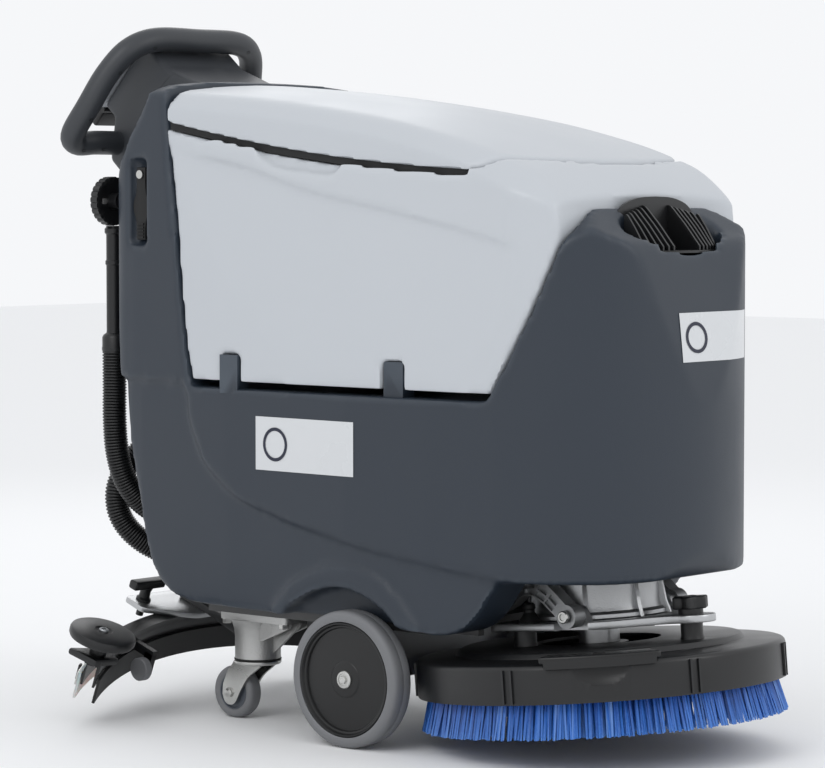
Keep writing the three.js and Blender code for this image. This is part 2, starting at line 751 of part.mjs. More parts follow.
function panelSlab() {
  const shape = new THREE.Shape();
  shape.moveTo(0, -panelHalfWidth + 40);
  shape.quadraticCurveTo(0, -panelHalfWidth, -40, -panelHalfWidth);
  shape.lineTo(-panelLength, -panelHalfWidth + 14);
  shape.lineTo(-panelLength, panelHalfWidth - 14);
  shape.lineTo(-40, panelHalfWidth);
  shape.quadraticCurveTo(0, panelHalfWidth, 0, panelHalfWidth - 40);
  const slab = raised(shape, 0, 14, 5);
  return cut(slab, post(-120, -60, 15, 6, 20), post(-120, 60, 13.6, 6, 20));
}

function handleLoop() {
  const rise = columnTop - 977;
  const right = [
    [-535, 0, 1044], [-537, -92, 1043], [-551, -138, 1026], [-574, -164, 988], [-598, -182, 938],
    [-624, -190, 896], [-634, -172, 881], [-628, -140, 882], [-628, -neckHalfWidth - gap, 882],
  ].map(([x, y, z]) => [x, y, z + rise]);
  const left = right.slice(1).map(([x, y, z]) => [x, -y, z]).reverse();
  return swept([...left, ...right], handleTube / 2, 10, 46);
}

function drivePaddle() {
  const hingeX = -panelLength - gap - 6;
  return join(block(hingeX - 32, hingeX, -84, 84, -2, 10), crossBar(hingeX, 4, 6, -84, 84, 16));
}

function panelKnob(radius, height) {
  return post(0, 0, radius, 0, height);
}

const drainX = bodyRear - 24;
const drainY = -180;
const capZ = ledge + 278;
const capRadius = 38;

function drainCap() {
  const disc = longBar(drainY - 6, capZ, capRadius, drainX - 7, drainX + 7, 28);
  const square = block(drainX - 10, drainX + 10, drainY - 28, drainY - 20, capZ - 4, capZ + 4);
  return join(cut(disc, square), longBar(drainY - 6, capZ, 13, drainX + 6, bodyRear - gap, 20));
}

function drainTube() {
  const low = 556;
  const top = capZ - capRadius - gap;
  const profile = [[0, low], [19, low], [19, low + 26], [12, low + 27], [12, top], [0, top]];
  return turned(profile, 20).translate([drainX, drainY, 0]);
}

// The drain hose hangs from its tube, swings to the middle and runs into the back of the body.
const drainHosePoints = [
  [-545, -180, 555.7], [-545, -180, 500], [-546, -179, 445], [-545, -174, 395], [-540, -160, 350],
  [-529, -134, 315], [-514, -100, 296], [-497, -62, 289], [-480, -34, 288], [-462, -22, 288],
  [-440.4, -22, 288],
];

// The vacuum hose leaves the body, loops down behind the drain hose and runs to the squeegee.
const vacuumHosePoints = [
  [-440.4, -22, 458], [-466, -22, 458], [-494, -32, 453], [-522, -58, 439], [-547, -92, 413],
  [-567, -122, 380], [-578, -140, 342], [-577, -142, 306], [-567, -132, 276], [-549, -112, 251],
  [-528, -87, 234], [-516, -63, 220.6], [-514.7, -45.4, 206.5],
];

const consoleGroup = new THREE.Group();
consoleGroup.position.set(consoleTop[0], 0, consoleTop[1]);
consoleGroup.rotation.y = consoleTilt;
machine.add(consoleGroup);
piece("console_neck", consoleNeck(), greyGrip);
piece("console_panel", panelSlab(), paleGrey, consoleGroup);
piece("handle_loop", handleLoop(), greyGrip);
piece("key_switch", panelKnob(13, 17).translate([-120, -60, 6.3]), redPlastic, consoleGroup);
piece("start_button", panelKnob(13, 11).translate([-120, 60, 9.3]), greenPlastic, consoleGroup);
piece("drive_paddle", drivePaddle(), blackPlastic, consoleGroup);
piece("drain_cap", drainCap(), blackPlastic);
piece("drain_tube", drainTube(), blackPlastic);
piece("drain_hose", swept(drainHosePoints, hoseDiameter / 2, 8, 18), rubber);
piece("vacuum_hose", swept(vacuumHosePoints, hoseDiameter / 2, 8, 22), rubber);

// ---------- brush deck ----------

const plateLow = 140;
const plateTop = 151;
const armBoss = [deckX + 33, armPivot[1] + 9];
const pinRadius = 6;
const knobX = 166;
const outputRadius = 30;
const hubTop = 112;

const deck = turnedGroup(deckX, 0, brushLift);
deck.rotation.y = -deckTilt;
deck.updateMatrixWorld(true);
const bossOnDeck = deck.worldToLocal(new THREE.Vector3(armBoss[0], 0, armBoss[1]));

function deckArm(side) {
  const [px, pz] = armPivot;
  const [bx, bz] = armBoss;
  const shape = new THREE.Shape();
  shape.moveTo(px - 10, pz + 14);
  shape.lineTo(px + 36, pz + 24);
  shape.lineTo(px + 80, pz + 54);
  shape.quadraticCurveTo(bx - 62, pz + 60, bx - 44, bz + 42);
  shape.lineTo(bx + 6, bz + 12);
  shape.lineTo(bx - 6, bz - 12);
  shape.lineTo(bx - 50, bz + 20);
  shape.quadraticCurveTo(px + 100, pz + 40, px + 88, pz + 32);
  shape.lineTo(px + 44, pz + 4);
  shape.lineTo(px + 6, pz - 12);
  const [low, high] = side > 0 ? [armInner, armOuter] : [-armOuter, -armInner];
  const web = widened(shape, low, high, 5);
  const ends = [crossBar(px, pz, 15, low, high), crossBar(bx, bz, 17, low, high)];
  const [pinLow, pinHigh] = side > 0 ? [armInner - 14, armInner + 1] : [-armInner - 1, 14 - armInner];
  const pin = crossBar(bx, bz, pinRadius, pinLow, pinHigh);
  const bore = crossBar(px, pz, shaftRadius + gap, low - 5, high + 5);
  return cut(join(web, ...ends, pin), bore);
}

function plateOutline() {
  const shape = new THREE.Shape();
  shape.moveTo(-98, -128);
  shape.lineTo(20, -130);
  shape.quadraticCurveTo(90, -122, 130, -60);
  shape.quadraticCurveTo(150, -32, knobX + 4, -32);
  shape.absarc(knobX + 4, 0, 32, -Math.PI / 2, Math.PI / 2, false);
  shape.quadraticCurveTo(150, 32, 130, 60);
  shape.quadraticCurveTo(90, 122, 20, 130);
  shape.lineTo(-98, 128);
  return shape;
}

function deckPlate() {
  const lugs = [-1, 1].map((side) => {
    const near = side > 0 ? armInner - 14.5 : -armInner + 0.5;
    const low = plateLow + 2;
    const foot = outline([
      [bossOnDeck.x - 22, low], [bossOnDeck.x + 22, low], [bossOnDeck.x + 14, bossOnDeck.z + 12],
      [bossOnDeck.x - 14, bossOnDeck.z + 12],
    ]);
    return widened(foot, near, near + 14);
  });
  const pins = crossBar(bossOnDeck.x, bossOnDeck.z, pinRadius + 0.4, -armOuter, armOuter);
  const plate = raised(plateOutline(), plateLow, plateTop, 6);
  const holes = [[knobX, 8], [0, outputRadius + 4]].map(([x, radius]) => {
    return post(x, 0, radius, plateLow - 5, plateTop + 5);
  });
  const armSlots = [-1, 1].map((side) => {
    const near = side > 0 ? armInner - gap : -armOuter - 5;
    const far = side > 0 ? armOuter + 5 : gap - armInner;
    return block(bossOnDeck.x - 28, bossOnDeck.x + 24, near, far, plateLow - 5, plateTop + 5);
  });
  return cut(join(plate, ...lugs), ...holes, pins, ...armSlots);
}

function motorHousing() {
  const low = plateTop + gap;
  const profile = [
    [0, hubTop + gap], [outputRadius, hubTop + gap], [outputRadius, low], [96, low], [96, low + 70],
    [88, low + 78], [88, low + 108], [0, low + 108],
  ];
  return turned(profile, 28);
}

function deckCover() {
  const rim = coverRadius;
  const ring = turned([
    [rim - 4, 50], [rim, 50], [rim, 98], [rim - 6, 105], [208, 107], [200, 116], [90, 116], [90, 112],
    [198, 112], [206, 103], [rim - 10, 101], [rim - 4, 95],
  ], 44);
  const bosses = [[knobX, 0], [-60, 96], [-60, -96]].map(([x, y]) => post(x, y, 16, 113, plateLow - gap));
  const stud = post(knobX, 0, 7.4, 112, plateLow + 5);
  return cut(join(ring, ...bosses), stud);
}

const bumperAngles = { left: 127, right: -53 };
const bumperHalfAngle = 18;

function deckBumper(degrees) {
  const middle = THREE.MathUtils.degToRad(degrees);
  const half = THREE.MathUtils.degToRad(bumperHalfAngle);
  const shape = new THREE.Shape();
  shape.absarc(0, 0, coverRadius + 7, middle - half, middle + half, false);
  shape.absarc(0, 0, coverRadius - 40, middle + half, middle - half, true);
  return raised(shape, 106.6, 116, 8);
}

function deckKnob() {
  const shape = new THREE.Shape();
  const lobes = 6;
  for (let step = 0; step < lobes * 6; step += 1) {
    const angle = (step / (lobes * 6)) * 2 * Math.PI;
    const radius = 24 + 3 * Math.cos(lobes * angle);
    shape[step === 0 ? "moveTo" : "lineTo"](knobX + radius * Math.cos(angle), radius * Math.sin(angle));
  }
  const head = raised(shape, plateTop + 8, plateTop + 26);
  return join(head, post(knobX, 0, 18, plateTop + gap, plateTop + 9), post(knobX, 0, 6.8, 113, plateTop + 1));
}

function deckStop() {
  const low = plateTop + gap;
  const profile = [[0, low], [15, low], [9, low + 14], [9, low + 22], [6, low + 28], [0, low + 29]];
  return turned(profile, 20).translate([-34, -116, 0]);
}

function brushDisc() {
  return turned([
    [0, 62], [60, 62], [60, 56], [252, 56], [252, 74], [60, 78], [42, 84], [42, hubTop], [0, hubTop],
  ], 32);
}

function bristleRing() {
  const rim = brushDiameter / 2;
  const top = bristleLength;
  return turned([[150, 0], [rim, 0], [rim - 15, top], [160, top]], 36);
}

piece("deck_arm_left", deckArm(1), castAluminium);
piece("deck_arm_right", deckArm(-1), castAluminium);
piece("deck_cross_shaft", crossBar(...armPivot, shaftRadius, -earOuter - 3, earOuter + 3), steel);
piece("deck_plate", deckPlate(), castAluminium, deck);
piece("motor_housing", motorHousing(), castAluminium, deck);
piece("deck_cover", deckCover(), blackPlastic, deck);
piece("deck_bumper_left", deckBumper(bumperAngles.left), blackPlastic, deck);
piece("deck_bumper_right", deckBumper(bumperAngles.right), blackPlastic, deck);
piece("deck_knob", deckKnob(), blackPlastic, deck);
piece("deck_stop", deckStop(), rubber, deck);
piece("brush_disc", brushDisc(), blackPlastic, deck);
piece("bristles", bristleRing(), blueBristle, deck);

// ---------- squeegee ----------

const arcCentre = 98 - liftPivot[0];
const floorBelow = -liftPivot[1];
const portX = arcCentre - squeegeeRadius;
const headTop = floorBelow + 67.5;
const plateUnder = headTop + gap;
const plateOver = plateUnder + 9;
const knobAt = [portX - 34, 110];

const rollerY = 330;
const rollerLow = 92;
const rollerRadius = 51;
const supportY = 200;
const supportX = arcPoint(supportY) + 54;
const supportZ = 26;
const supportRadius = 18;

const squeegee = turnedGroup(liftPivot[0], 0, liftPivot[1]);
squeegee.rotation.y = squeegeeTilt;

function arcBand(inner, outer, low, high, segments = 12) {
  const half = Math.asin(squeegeeHalfWidth / squeegeeRadius);
  const shape = new THREE.Shape();
  shape.absarc(arcCentre, 0, squeegeeRadius + outer, Math.PI - half, Math.PI + half, false);
  shape.absarc(arcCentre, 0, squeegeeRadius + inner, Math.PI + half, Math.PI - half, true);
  return raised(shape, floorBelow + low, floorBelow + high, segments);
}

function arcPoint(y, offset = 0) {
  return arcCentre - Math.sqrt((squeegeeRadius + offset) ** 2 - y * y);
}

function squeegeeArm() {
  const high = plateOver + 12;
  const shape = outline([
    [-8, 10], [8, -12], [-70, -70], [portX + 30, plateOver + gap], [portX - 28, plateOver + gap],
    [portX - 28, high], [portX + 36, high], [-62, -48],
  ]);
  const strap = widened(shape, -34, 34);
  const tube = crossBar(0, 0, 14, -armTubeHalf, armTubeHalf);
  const bore = crossBar(0, 0, 7, -70, 70, 16);
  return cut(join(strap, tube), bore, post(portX, 0, hoseDiameter / 2 + 2.5, floorBelow, 0));
}

function squeegeePlate() {
  const shape = outline([
    [portX - 54, -132], [portX - 10, -134], [portX + 32, -50],
    [portX + 32, 50], [portX - 10, 134], [portX - 54, 132],
  ]);
  const holes = [-1, 1].map((side) => {
    return post(knobAt[0], side * knobAt[1], 6.5, plateUnder - 5, plateOver + 5, 16);
  });
  const passage = post(portX, 0, hoseDiameter / 2 + 2.5, floorBelow, 0);
  return cut(raised(shape, plateUnder, plateOver), passage, ...holes);
}

function squeegeeBody() {
  const beam = arcBand(-13, 12.5, 25, 67.5);
  const ears = [-1, 1].map((side) => {
    const y = side * knobAt[1];
    return block(knobAt[0] - 14, arcPoint(knobAt[1]) + 2, y - 15, y + 15, floorBelow + 48, headTop);
  });
  const holes = [-1, 1].map((side) => post(knobAt[0], side * knobAt[1], 6.5, floorBelow, 0, 16));
  const rollerPosts = [-1, 1].map((side) => {
    const y = side * rollerY;
    return post(arcPoint(rollerY), y, 13, headTop - 5, floorBelow + rollerLow - gap, 20);
  });
  const brackets = [-1, 1].map((side) => {
    const y = side * supportY;
    return block(arcPoint(supportY) - 4, supportX + 8, y - 5, y + 5, floorBelow + 42, floorBelow + 58);
  });
  const stubs = [-1, 1].map((side) => {
    const y = side * supportY;
    return block(supportX - 8, supportX + 8, y - 5, y + 5, floorBelow + supportZ - 8, floorBelow + 50);
  });
  return cut(join(beam, ...ears, ...rollerPosts, ...brackets, ...stubs), ...holes);
}

function roller() {
  return turned([
    [0, 0], [rollerRadius - 4, 0], [rollerRadius, 5], [rollerRadius, 13], [rollerRadius - 8, 18], [0, 18],
  ], 24);
}

function handKnob() {
  const stem = post(0, 0, 9, 0, 24, 16);
  const grip = block(-9, 9, -34, 34, 22, 36);
  const stud = post(0, 0, 6, -26, 2, 16);
  return join(stem, grip, stud);
}

function supportWheel() {
  return wheelTurned([[0, -7], [supportRadius, -7], [supportRadius, 7], [0, 7]], 16);
}

function suctionPort() {
  const points = [
    [portX, 0, headTop + gap], [portX, 0, headTop + 16], [portX - 2, -6, headTop + 34],
    [portX - 7, -24, headTop + 52], [portX - 14, -45, headTop + 67.5],
  ];
  return swept(points, hoseDiameter / 2, 16, 10);
}

piece("squeegee_arm", squeegeeArm(), steel, squeegee);
piece("squeegee_plate", squeegeePlate(), castAluminium, squeegee);
piece("squeegee_body", squeegeeBody(), blackPlastic, squeegee);
piece("front_blade", arcBand(-17.5, -13.3, 1, 40), rubber, squeegee);
piece("rear_blade", arcBand(12.8, 17, 0.5, 44), clearRubber, squeegee);
piece("blade_strap", arcBand(17.3, 19.5, 22, 42), steel, squeegee);
piece("suction_port", suctionPort(), blackPlastic, squeegee);
for (const [side, label] of [[-1, "right"], [1, "left"]]) {
  const y = side * rollerY;
  const wheel = supportWheel().translate([supportX, side * (supportY + 12.3), floorBelow + supportZ]);
  const disc = roller().translate([arcPoint(rollerY), y, floorBelow + rollerLow]);
  const knob = handKnob().translate([knobAt[0], side * knobAt[1], plateOver + gap]);
  piece(`bumper_roller_${label}`, disc, blackPlastic, squeegee);
  piece(`squeegee_knob_${label}`, knob, blackPlastic, squeegee);
  piece(`support_wheel_${label}`, wheel, tyreGrey, squeegee);
}

machine.updateMatrixWorld(true);
const bounds = new THREE.Box3().setFromObject(machine);
machine.position.x = -(bounds.min.x + bounds.max.x) / 2;

export default machine;
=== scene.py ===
import math
import random

import bmesh
import bpy
from mathutils import Matrix, Vector


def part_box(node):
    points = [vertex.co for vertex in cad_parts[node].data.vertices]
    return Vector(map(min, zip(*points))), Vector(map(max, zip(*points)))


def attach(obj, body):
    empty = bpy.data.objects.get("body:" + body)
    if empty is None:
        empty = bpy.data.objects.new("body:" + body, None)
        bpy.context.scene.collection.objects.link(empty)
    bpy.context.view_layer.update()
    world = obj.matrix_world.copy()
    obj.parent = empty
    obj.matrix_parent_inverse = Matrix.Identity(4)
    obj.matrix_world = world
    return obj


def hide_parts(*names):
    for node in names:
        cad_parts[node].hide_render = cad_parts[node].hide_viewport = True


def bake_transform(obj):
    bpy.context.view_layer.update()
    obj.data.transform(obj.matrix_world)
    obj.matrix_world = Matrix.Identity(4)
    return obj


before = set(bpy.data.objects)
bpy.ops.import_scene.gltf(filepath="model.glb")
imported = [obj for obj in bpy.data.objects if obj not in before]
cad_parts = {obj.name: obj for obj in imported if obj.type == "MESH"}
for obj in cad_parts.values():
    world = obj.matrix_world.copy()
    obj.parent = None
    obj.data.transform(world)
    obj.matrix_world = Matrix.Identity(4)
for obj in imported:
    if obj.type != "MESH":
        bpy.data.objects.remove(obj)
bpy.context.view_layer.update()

# ---------------------------------------------------------------- studio
# A plain pale floor, a pale surround, one large soft lamp over the machine's right front
# and a weaker one behind it. The camera stands low, off the machine's right front corner.

scene = bpy.context.scene
scene.view_settings.view_transform = "Standard"

wheel_low, wheel_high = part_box("drive_tyre_right")
axle_x = (wheel_low[0] + wheel_high[0]) / 2

eye = bpy.data.objects.new("camera", bpy.data.cameras.new("camera"))
scene.collection.objects.link(eye)
eye.location = (axle_x + 3.1669, -3.8656, 0.8052)
eye.rotation_euler = (math.radians(90 - 3.30), 0, math.radians(40.10))
eye.data.sensor_width = 36
eye.data.lens = 145.8
eye.data.clip_end = 60
scene.camera = eye

bm = bmesh.new()
bmesh.ops.create_grid(bm, x_segments=1, y_segments=1, size=14)
studio_floor = bpy.data.objects.new("studio_floor", bpy.data.meshes.new("studio_floor"))
bm.to_mesh(studio_floor.data)
bm.free()
scene.collection.objects.link(studio_floor)
pale_floor = bpy.data.materials.new("pale_floor")
pale_floor.use_nodes = True
floor_shader = pale_floor.node_tree.nodes["Principled BSDF"]
floor_shader.inputs["Base Color"].default_value = (0.90, 0.905, 0.91, 1)
floor_shader.inputs["Roughness"].default_value = 0.9
studio_floor.data.materials.append(pale_floor)

surround = bpy.data.worlds.new("surround")
surround.use_nodes = True
surround.node_tree.nodes["Background"].inputs["Color"].default_value = (0.97, 0.98, 1.0, 1)
surround.node_tree.nodes["Background"].inputs["Strength"].default_value = 0.95
scene.world = surround


def soft_lamp(name, place, aim, size, power):
    lamp = bpy.data.objects.new(name, bpy.data.lights.new(name, "AREA"))
    lamp.data.shape = "RECTANGLE"
    lamp.data.size, lamp.data.size_y = size
    lamp.data.energy = power
    lamp.location = place
    lamp.rotation_euler = (Vector(aim) - Vector(place)).to_track_quat("-Z", "Y").to_euler()
    scene.collection.objects.link(lamp)


soft_lamp("key_lamp", (0.6, -3.2, 2.9), (0.1, 0, 0.6), (1.8, 1.2), 26)
soft_lamp("front_lamp", (3.4, 0.6, 2.2), (0.2, 0, 0.5), (1.0, 1.6), 14)
soft_lamp("back_lamp", (-2.6, 2.2, 2.6), (0, 0, 0.7), (1.6, 1.6), 10)

# ---------------------------------------------------------------- hoses at the rear
# Two corrugated black hoses. The drain hose hangs from its rigid tube and runs back into the body;
# the suction hose leaves the body above it, loops down and ends on the squeegee's port.


def flowing(points, steps):
    """A smooth line through the given points, with so many steps between each pair."""
    line = []
    ends = [2 * points[0] - points[1], *points, 2 * points[-1] - points[-2]]
    for a, b, c, d in zip(ends, ends[1:], ends[2:], ends[3:]):
        for step in range(steps):
            t = step / steps
            line.append(0.5 * (2 * b + (c - a) * t + (2 * a - 5 * b + 4 * c - d) * t * t + (3 * b - a - 3 * c + d) * t ** 3))
    return [*line, points[-1]]


def bend_along(bm, line):
    """Bends a straight piece, built up the Z axis, along a line of the same length."""
    runs = [0.0]
    for a, b in zip(line, line[1:]):
        runs.append(runs[-1] + (b - a).length)
    side = (line[1] - line[0]).orthogonal().normalized()
    frames = []
    for at, point in enumerate(line):
        ahead = (line[min(at + 1, len(line) - 1)] - line[max(at - 1, 0)]).normalized()
        side = (side - ahead * side.dot(ahead)).normalized()
        frames.append((point, side, ahead.cross(side), ahead))
    for vert in bm.verts:
        z = min(max(vert.co.z, 0.0), runs[-1])
        at = next(i for i in range(1, len(runs)) if runs[i] >= z - 1e-9)
        share = (z - runs[at - 1]) / (runs[at] - runs[at - 1])
        place = frames[at - 1][0].lerp(frames[at][0], share)
        across = frames[at - 1][1].lerp(frames[at][1], share).normalized()
        up = frames[at - 1][2].lerp(frames[at][2], share).normalized()
        vert.co = place + across * vert.co.x + up * vert.co.y


def settle(bm, name, material, body, slot, replaced=(), sharp=34):
    """Sets a mesh down where the CAD puts it: built in millimetres from the drive axle, stored in metres.

    body is one body's name, which the piece is attached to; any other value leaves it unattached, its place baked into
    the mesh."""
    bmesh.ops.scale(bm, vec=(0.001, 0.001, 0.001), verts=bm.verts)
    bmesh.ops.translate(bm, vec=(axle_x, 0, 0), verts=bm.verts)
    for edge in bm.edges:
        edge.smooth = len(edge.link_faces) == 2 and edge.calc_face_angle(0.0) < math.radians(sharp)
    for face in bm.faces:
        face.smooth = True
    piece = bpy.data.objects.new(name, bpy.data.meshes.new(name))
    bm.to_mesh(piece.data)
    bm.free()
    scene.collection.objects.link(piece)
    piece.data.materials.append(material)
    if isinstance(body, str):
        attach(piece, body)
    else:
        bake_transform(piece)
    if replaced:
        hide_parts(*replaced)
    return piece


def node_group(name, inputs, outputs):
    group = bpy.data.node_groups.new(name, "ShaderNodeTree")
    for label, kind, value in inputs:
        socket = group.interface.new_socket(label, in_out="INPUT", socket_type=kind)
        socket.default_value = value
    for label, kind in outputs:
        group.interface.new_socket(label, in_out="OUTPUT", socket_type=kind)
    return group, group.nodes.new("NodeGroupInput"), group.nodes.new("NodeGroupOutput")


def grain_group():
    """Moulded grain: fine bumps, slow patches of tone and gloss, and paler worn edges and dust."""
    group, given, made = node_group(
        "moulded_grain",
        [("Color", "NodeSocketColor", (0.5, 0.5, 0.5, 1)), ("Worn Color", "NodeSocketColor", (0.8, 0.8, 0.8, 1)),
         ("Grain Scale", "NodeSocketFloat", 900.0), ("Patch", "NodeSocketFloat", 0.06), ("Wear", "NodeSocketFloat", 0.3),
         ("Roughness", "NodeSocketFloat", 0.5), ("Relief", "NodeSocketFloat", 0.1)],
        [("Color", "NodeSocketColor"), ("Roughness", "NodeSocketFloat"), ("Normal", "NodeSocketVector")],
    )
    nodes, links = group.nodes, group.links
    place = nodes.new("ShaderNodeTexCoord")
    fine = nodes.new("ShaderNodeTexNoise")
    fine.inputs["Detail"].default_value = 3
    links.new(place.outputs["Object"], fine.inputs["Vector"])
    links.new(given.outputs["Grain Scale"], fine.inputs["Scale"])
    slow = nodes.new("ShaderNodeTexNoise")
    slow.inputs["Scale"].default_value = 7
    slow.inputs["Detail"].default_value = 5
    links.new(place.outputs["Object"], slow.inputs["Vector"])
    centred = nodes.new("ShaderNodeMath")
    centred.operation = "SUBTRACT"
    centred.inputs[1].default_value = 0.5
    links.new(slow.outputs["Fac"], centred.inputs[0])
    shift = nodes.new("ShaderNodeMath")
    shift.operation = "MULTIPLY_ADD"
    shift.inputs[2].default_value = 1.0
    links.new(centred.outputs[0], shift.inputs[0])
    links.new(given.outputs["Patch"], shift.inputs[1])
    toned = nodes.new("ShaderNodeVectorMath")
    toned.operation = "SCALE"
    links.new(given.outputs["Color"], toned.inputs[0])
    links.new(shift.outputs[0], toned.inputs["Scale"])
    shape = nodes.new("ShaderNodeNewGeometry")
    edge = nodes.new("ShaderNodeMapRange")
    edge.inputs["From Min"].default_value = 0.515
    edge.inputs["From Max"].default_value = 0.60
    links.new(shape.outputs["Pointiness"], edge.inputs["Value"])
    broken = nodes.new("ShaderNodeMath")
    broken.operation = "MULTIPLY"
    links.new(edge.outputs["Result"], broken.inputs[0])
    links.new(slow.outputs["Fac"], broken.inputs[1])
    amount = nodes.new("ShaderNodeMath")
    amount.operation = "MULTIPLY"
    amount.use_clamp = True
    links.new(broken.outputs[0], amount.inputs[0])
    links.new(given.outputs["Wear"], amount.inputs[1])
    mixed = nodes.new("ShaderNodeMix")
    mixed.data_type = "RGBA"
    links.new(amount.outputs[0], mixed.inputs["Factor"])
    links.new(toned.outputs["Vector"], mixed.inputs["A"])
    links.new(given.outputs["Worn Color"], mixed.inputs["B"])
    links.new(mixed.outputs["Result"], made.inputs["Color"])
    gloss = nodes.new("ShaderNodeMath")
    gloss.operation = "MULTIPLY_ADD"
    gloss.inputs[1].default_value = 0.22
    links.new(centred.outputs[0], gloss.inputs[0])
    links.new(given.outputs["Roughness"], gloss.inputs[2])
    links.new(gloss.outputs[0], made.inputs["Roughness"])
    bump = nodes.new("ShaderNodeBump")
    bump.inputs["Distance"].default_value = 0.001
    links.new(fine.outputs["Fac"], bump.inputs["Height"])
    links.new(given.outputs["Relief"], bump.inputs["Strength"])
    links.new(bump.outputs["Normal"], made.inputs["Normal"])
    return group


moulded_grain = grain_group()


def moulded(name, color, roughness, grain=900, relief=0.12, patch=0.10, wear=0.35, worn=None, metal=0.0, coat=0.0):
    """A finish whose colour, gloss and grain all vary over the surface. Colours are sRGB shares of one."""
    material = bpy.data.materials.new(name)
    material.use_nodes = True
    nodes, links = material.node_tree.nodes, material.node_tree.links
    shader = nodes["Principled BSDF"]
    shader.inputs["Metallic"].default_value = metal
    shader.inputs["Coat Weight"].default_value = coat
    grain_node = nodes.new("ShaderNodeGroup")
    grain_node.node_tree = moulded_grain
    linear = [c ** 2.2 for c in color]
    pale = [c ** 2.2 for c in (worn or [min(1.0, c * 1.25 + 0.06) for c in color])]
    grain_node.inputs["Color"].default_value = (*linear, 1)
    grain_node.inputs["Worn Color"].default_value = (*pale, 1)
    grain_node.inputs["Grain Scale"].default_value = grain
    grain_node.inputs["Patch"].default_value = patch
    grain_node.inputs["Wear"].default_value = wear
    grain_node.inputs["Roughness"].default_value = roughness
    grain_node.inputs["Relief"].default_value = relief
    links.new(grain_node.outputs["Color"], shader.inputs["Base Color"])
    links.new(grain_node.outputs["Roughness"], shader.inputs["Roughness"])
    links.new(grain_node.outputs["Normal"], shader.inputs["Normal"])
    return material


hose_rubber = moulded("hose_rubber", (0.075, 0.078, 0.082), 0.42, grain=500, relief=0.08, patch=0.3)
hose_radius = 19.0
hose_pitch = 4.6

drain_run = [Vector(p) for p in [
    (-545, -180, 555.7), (-545, -180, 500), (-546, -179, 445), (-545, -174, 395), (-540, -160, 350), (-529, -134, 315),
    (-514, -100, 296), (-497, -62, 289), (-480, -34, 288), (-462, -22, 288), (-440.4, -22, 288)]]
suction_run = [Vector(p) for p in [
    (-440.4, -22, 458), (-466, -22, 458), (-494, -32, 453), (-522, -58, 439), (-547, -92, 413), (-567, -122, 380),
    (-578, -140, 342), (-577, -142, 306), (-567, -132, 276), (-549, -112, 251), (-528, -87, 234), (-516, -63, 220.6),
    (-514.7, -45.4, 206.5)]]

follows_squeegee = ("chassis", "squeegee_lifter", (axle_x - 0.500, -0.100, 0.430), (axle_x - 0.515, -0.060, 0.225))
for name, run, body in (("drain_hose", drain_run, "chassis"), ("vacuum_hose", suction_run, follows_squeegee)):
    line = flowing(run, 6)
    length = sum((b - a).length for a, b in zip(line, line[1:]))
    ribs = int(length / hose_pitch)
    step = length / ribs / 4
    bm = bmesh.new()
    bmesh.ops.create_circle(bm, segments=24, radius=hose_radius - 0.6)
    rim = list(bm.edges)
    bmesh.ops.contextual_create(bm, geom=rim)
    for ring in range(ribs * 4):
        grown = bmesh.ops.extrude_edge_only(bm, edges=rim)["geom"]
        rim = [e for e in grown if isinstance(e, bmesh.types.BMEdge)]
        tops = [v for v in grown if isinstance(v, bmesh.types.BMVert)]
        bmesh.ops.translate(bm, vec=(0, 0, step), verts=tops)
        wanted = hose_radius - (2.4, 0.6, 0.0, 0.6)[(ring + 2) % 4]
        now = math.hypot(tops[0].co.x, tops[0].co.y)
        bmesh.ops.scale(bm, vec=(wanted / now, wanted / now, 1), verts=tops)
    bmesh.ops.contextual_create(bm, geom=rim)
    bend_along(bm, line)
    bmesh.ops.recalc_face_normals(bm, faces=bm.faces)
    hose = settle(bm, name + "_ribbed", hose_rubber, body, "rubber", (name,), sharp=60)

# ---------------------------------------------------------------- body shell
# One rotation-moulded shell in dark slate plastic: a rear column, a low hull with a raised wheel flare,
# and the front tower with the filling mouth. Its walls are welded round the battery bay and water tank.


def slab(outline, axis, low, high):
    """A flat outline pulled into a solid. The outline is (x, z) for axis Y, (x, y) for Z and (y, z) for X."""
    bm = bmesh.new()
    place = {"X": lambda a, b: (low, a, b), "Y": lambda a, b: (a, low, b), "Z": lambda a, b: (a, b, low)}[axis]
    face = bm.faces.new([bm.verts.new(place(*point)) for point in outline])
    pulled = bmesh.ops.extrude_face_region(bm, geom=[face])["geom"]
    far = [v for v in pulled if isinstance(v, bmesh.types.BMVert)]
    way = {"X": (high - low, 0, 0), "Y": (0, high - low, 0), "Z": (0, 0, high - low)}[axis]
    bmesh.ops.translate(bm, vec=way, verts=far)
    bmesh.ops.recalc_face_normals(bm, faces=bm.faces)
    return bm


def curved(points, steps=6):
    return [(p.x, p.y) for p in flowing([Vector((a, b)) for a, b in points], steps)]


def mirrored(points):
    """An outline over +Y, closed by its mirror image."""
    return points + [(-a, b) for a, b in reversed(points) if a > 1e-6]


def loose(bm):
    """A mesh still being worked on, held in an object so that modifiers can shape it."""
    block = bpy.data.objects.new("work", bpy.data.meshes.new("work"))
    bm.to_mesh(block.data)
    bm.free()
    scene.collection.objects.link(block)
    return block


def worked(block, kind, **settings):
    modifier = block.modifiers.new(kind, kind)
    for label, value in settings.items():
        setattr(modifier, label, value)
    view = bpy.context.evaluated_depsgraph_get()
    view.update()
    done = bpy.data.meshes.new_from_object(block.evaluated_get(view))
    block.modifiers.clear()
    block.data = done
    return block


def combined(block, other, operation):
    tool = other if isinstance(other, bpy.types.Object) else loose(other)
    worked(block, "BOOLEAN", operation=operation, object=tool, solver="EXACT")
    bpy.data.objects.remove(tool)
    return block


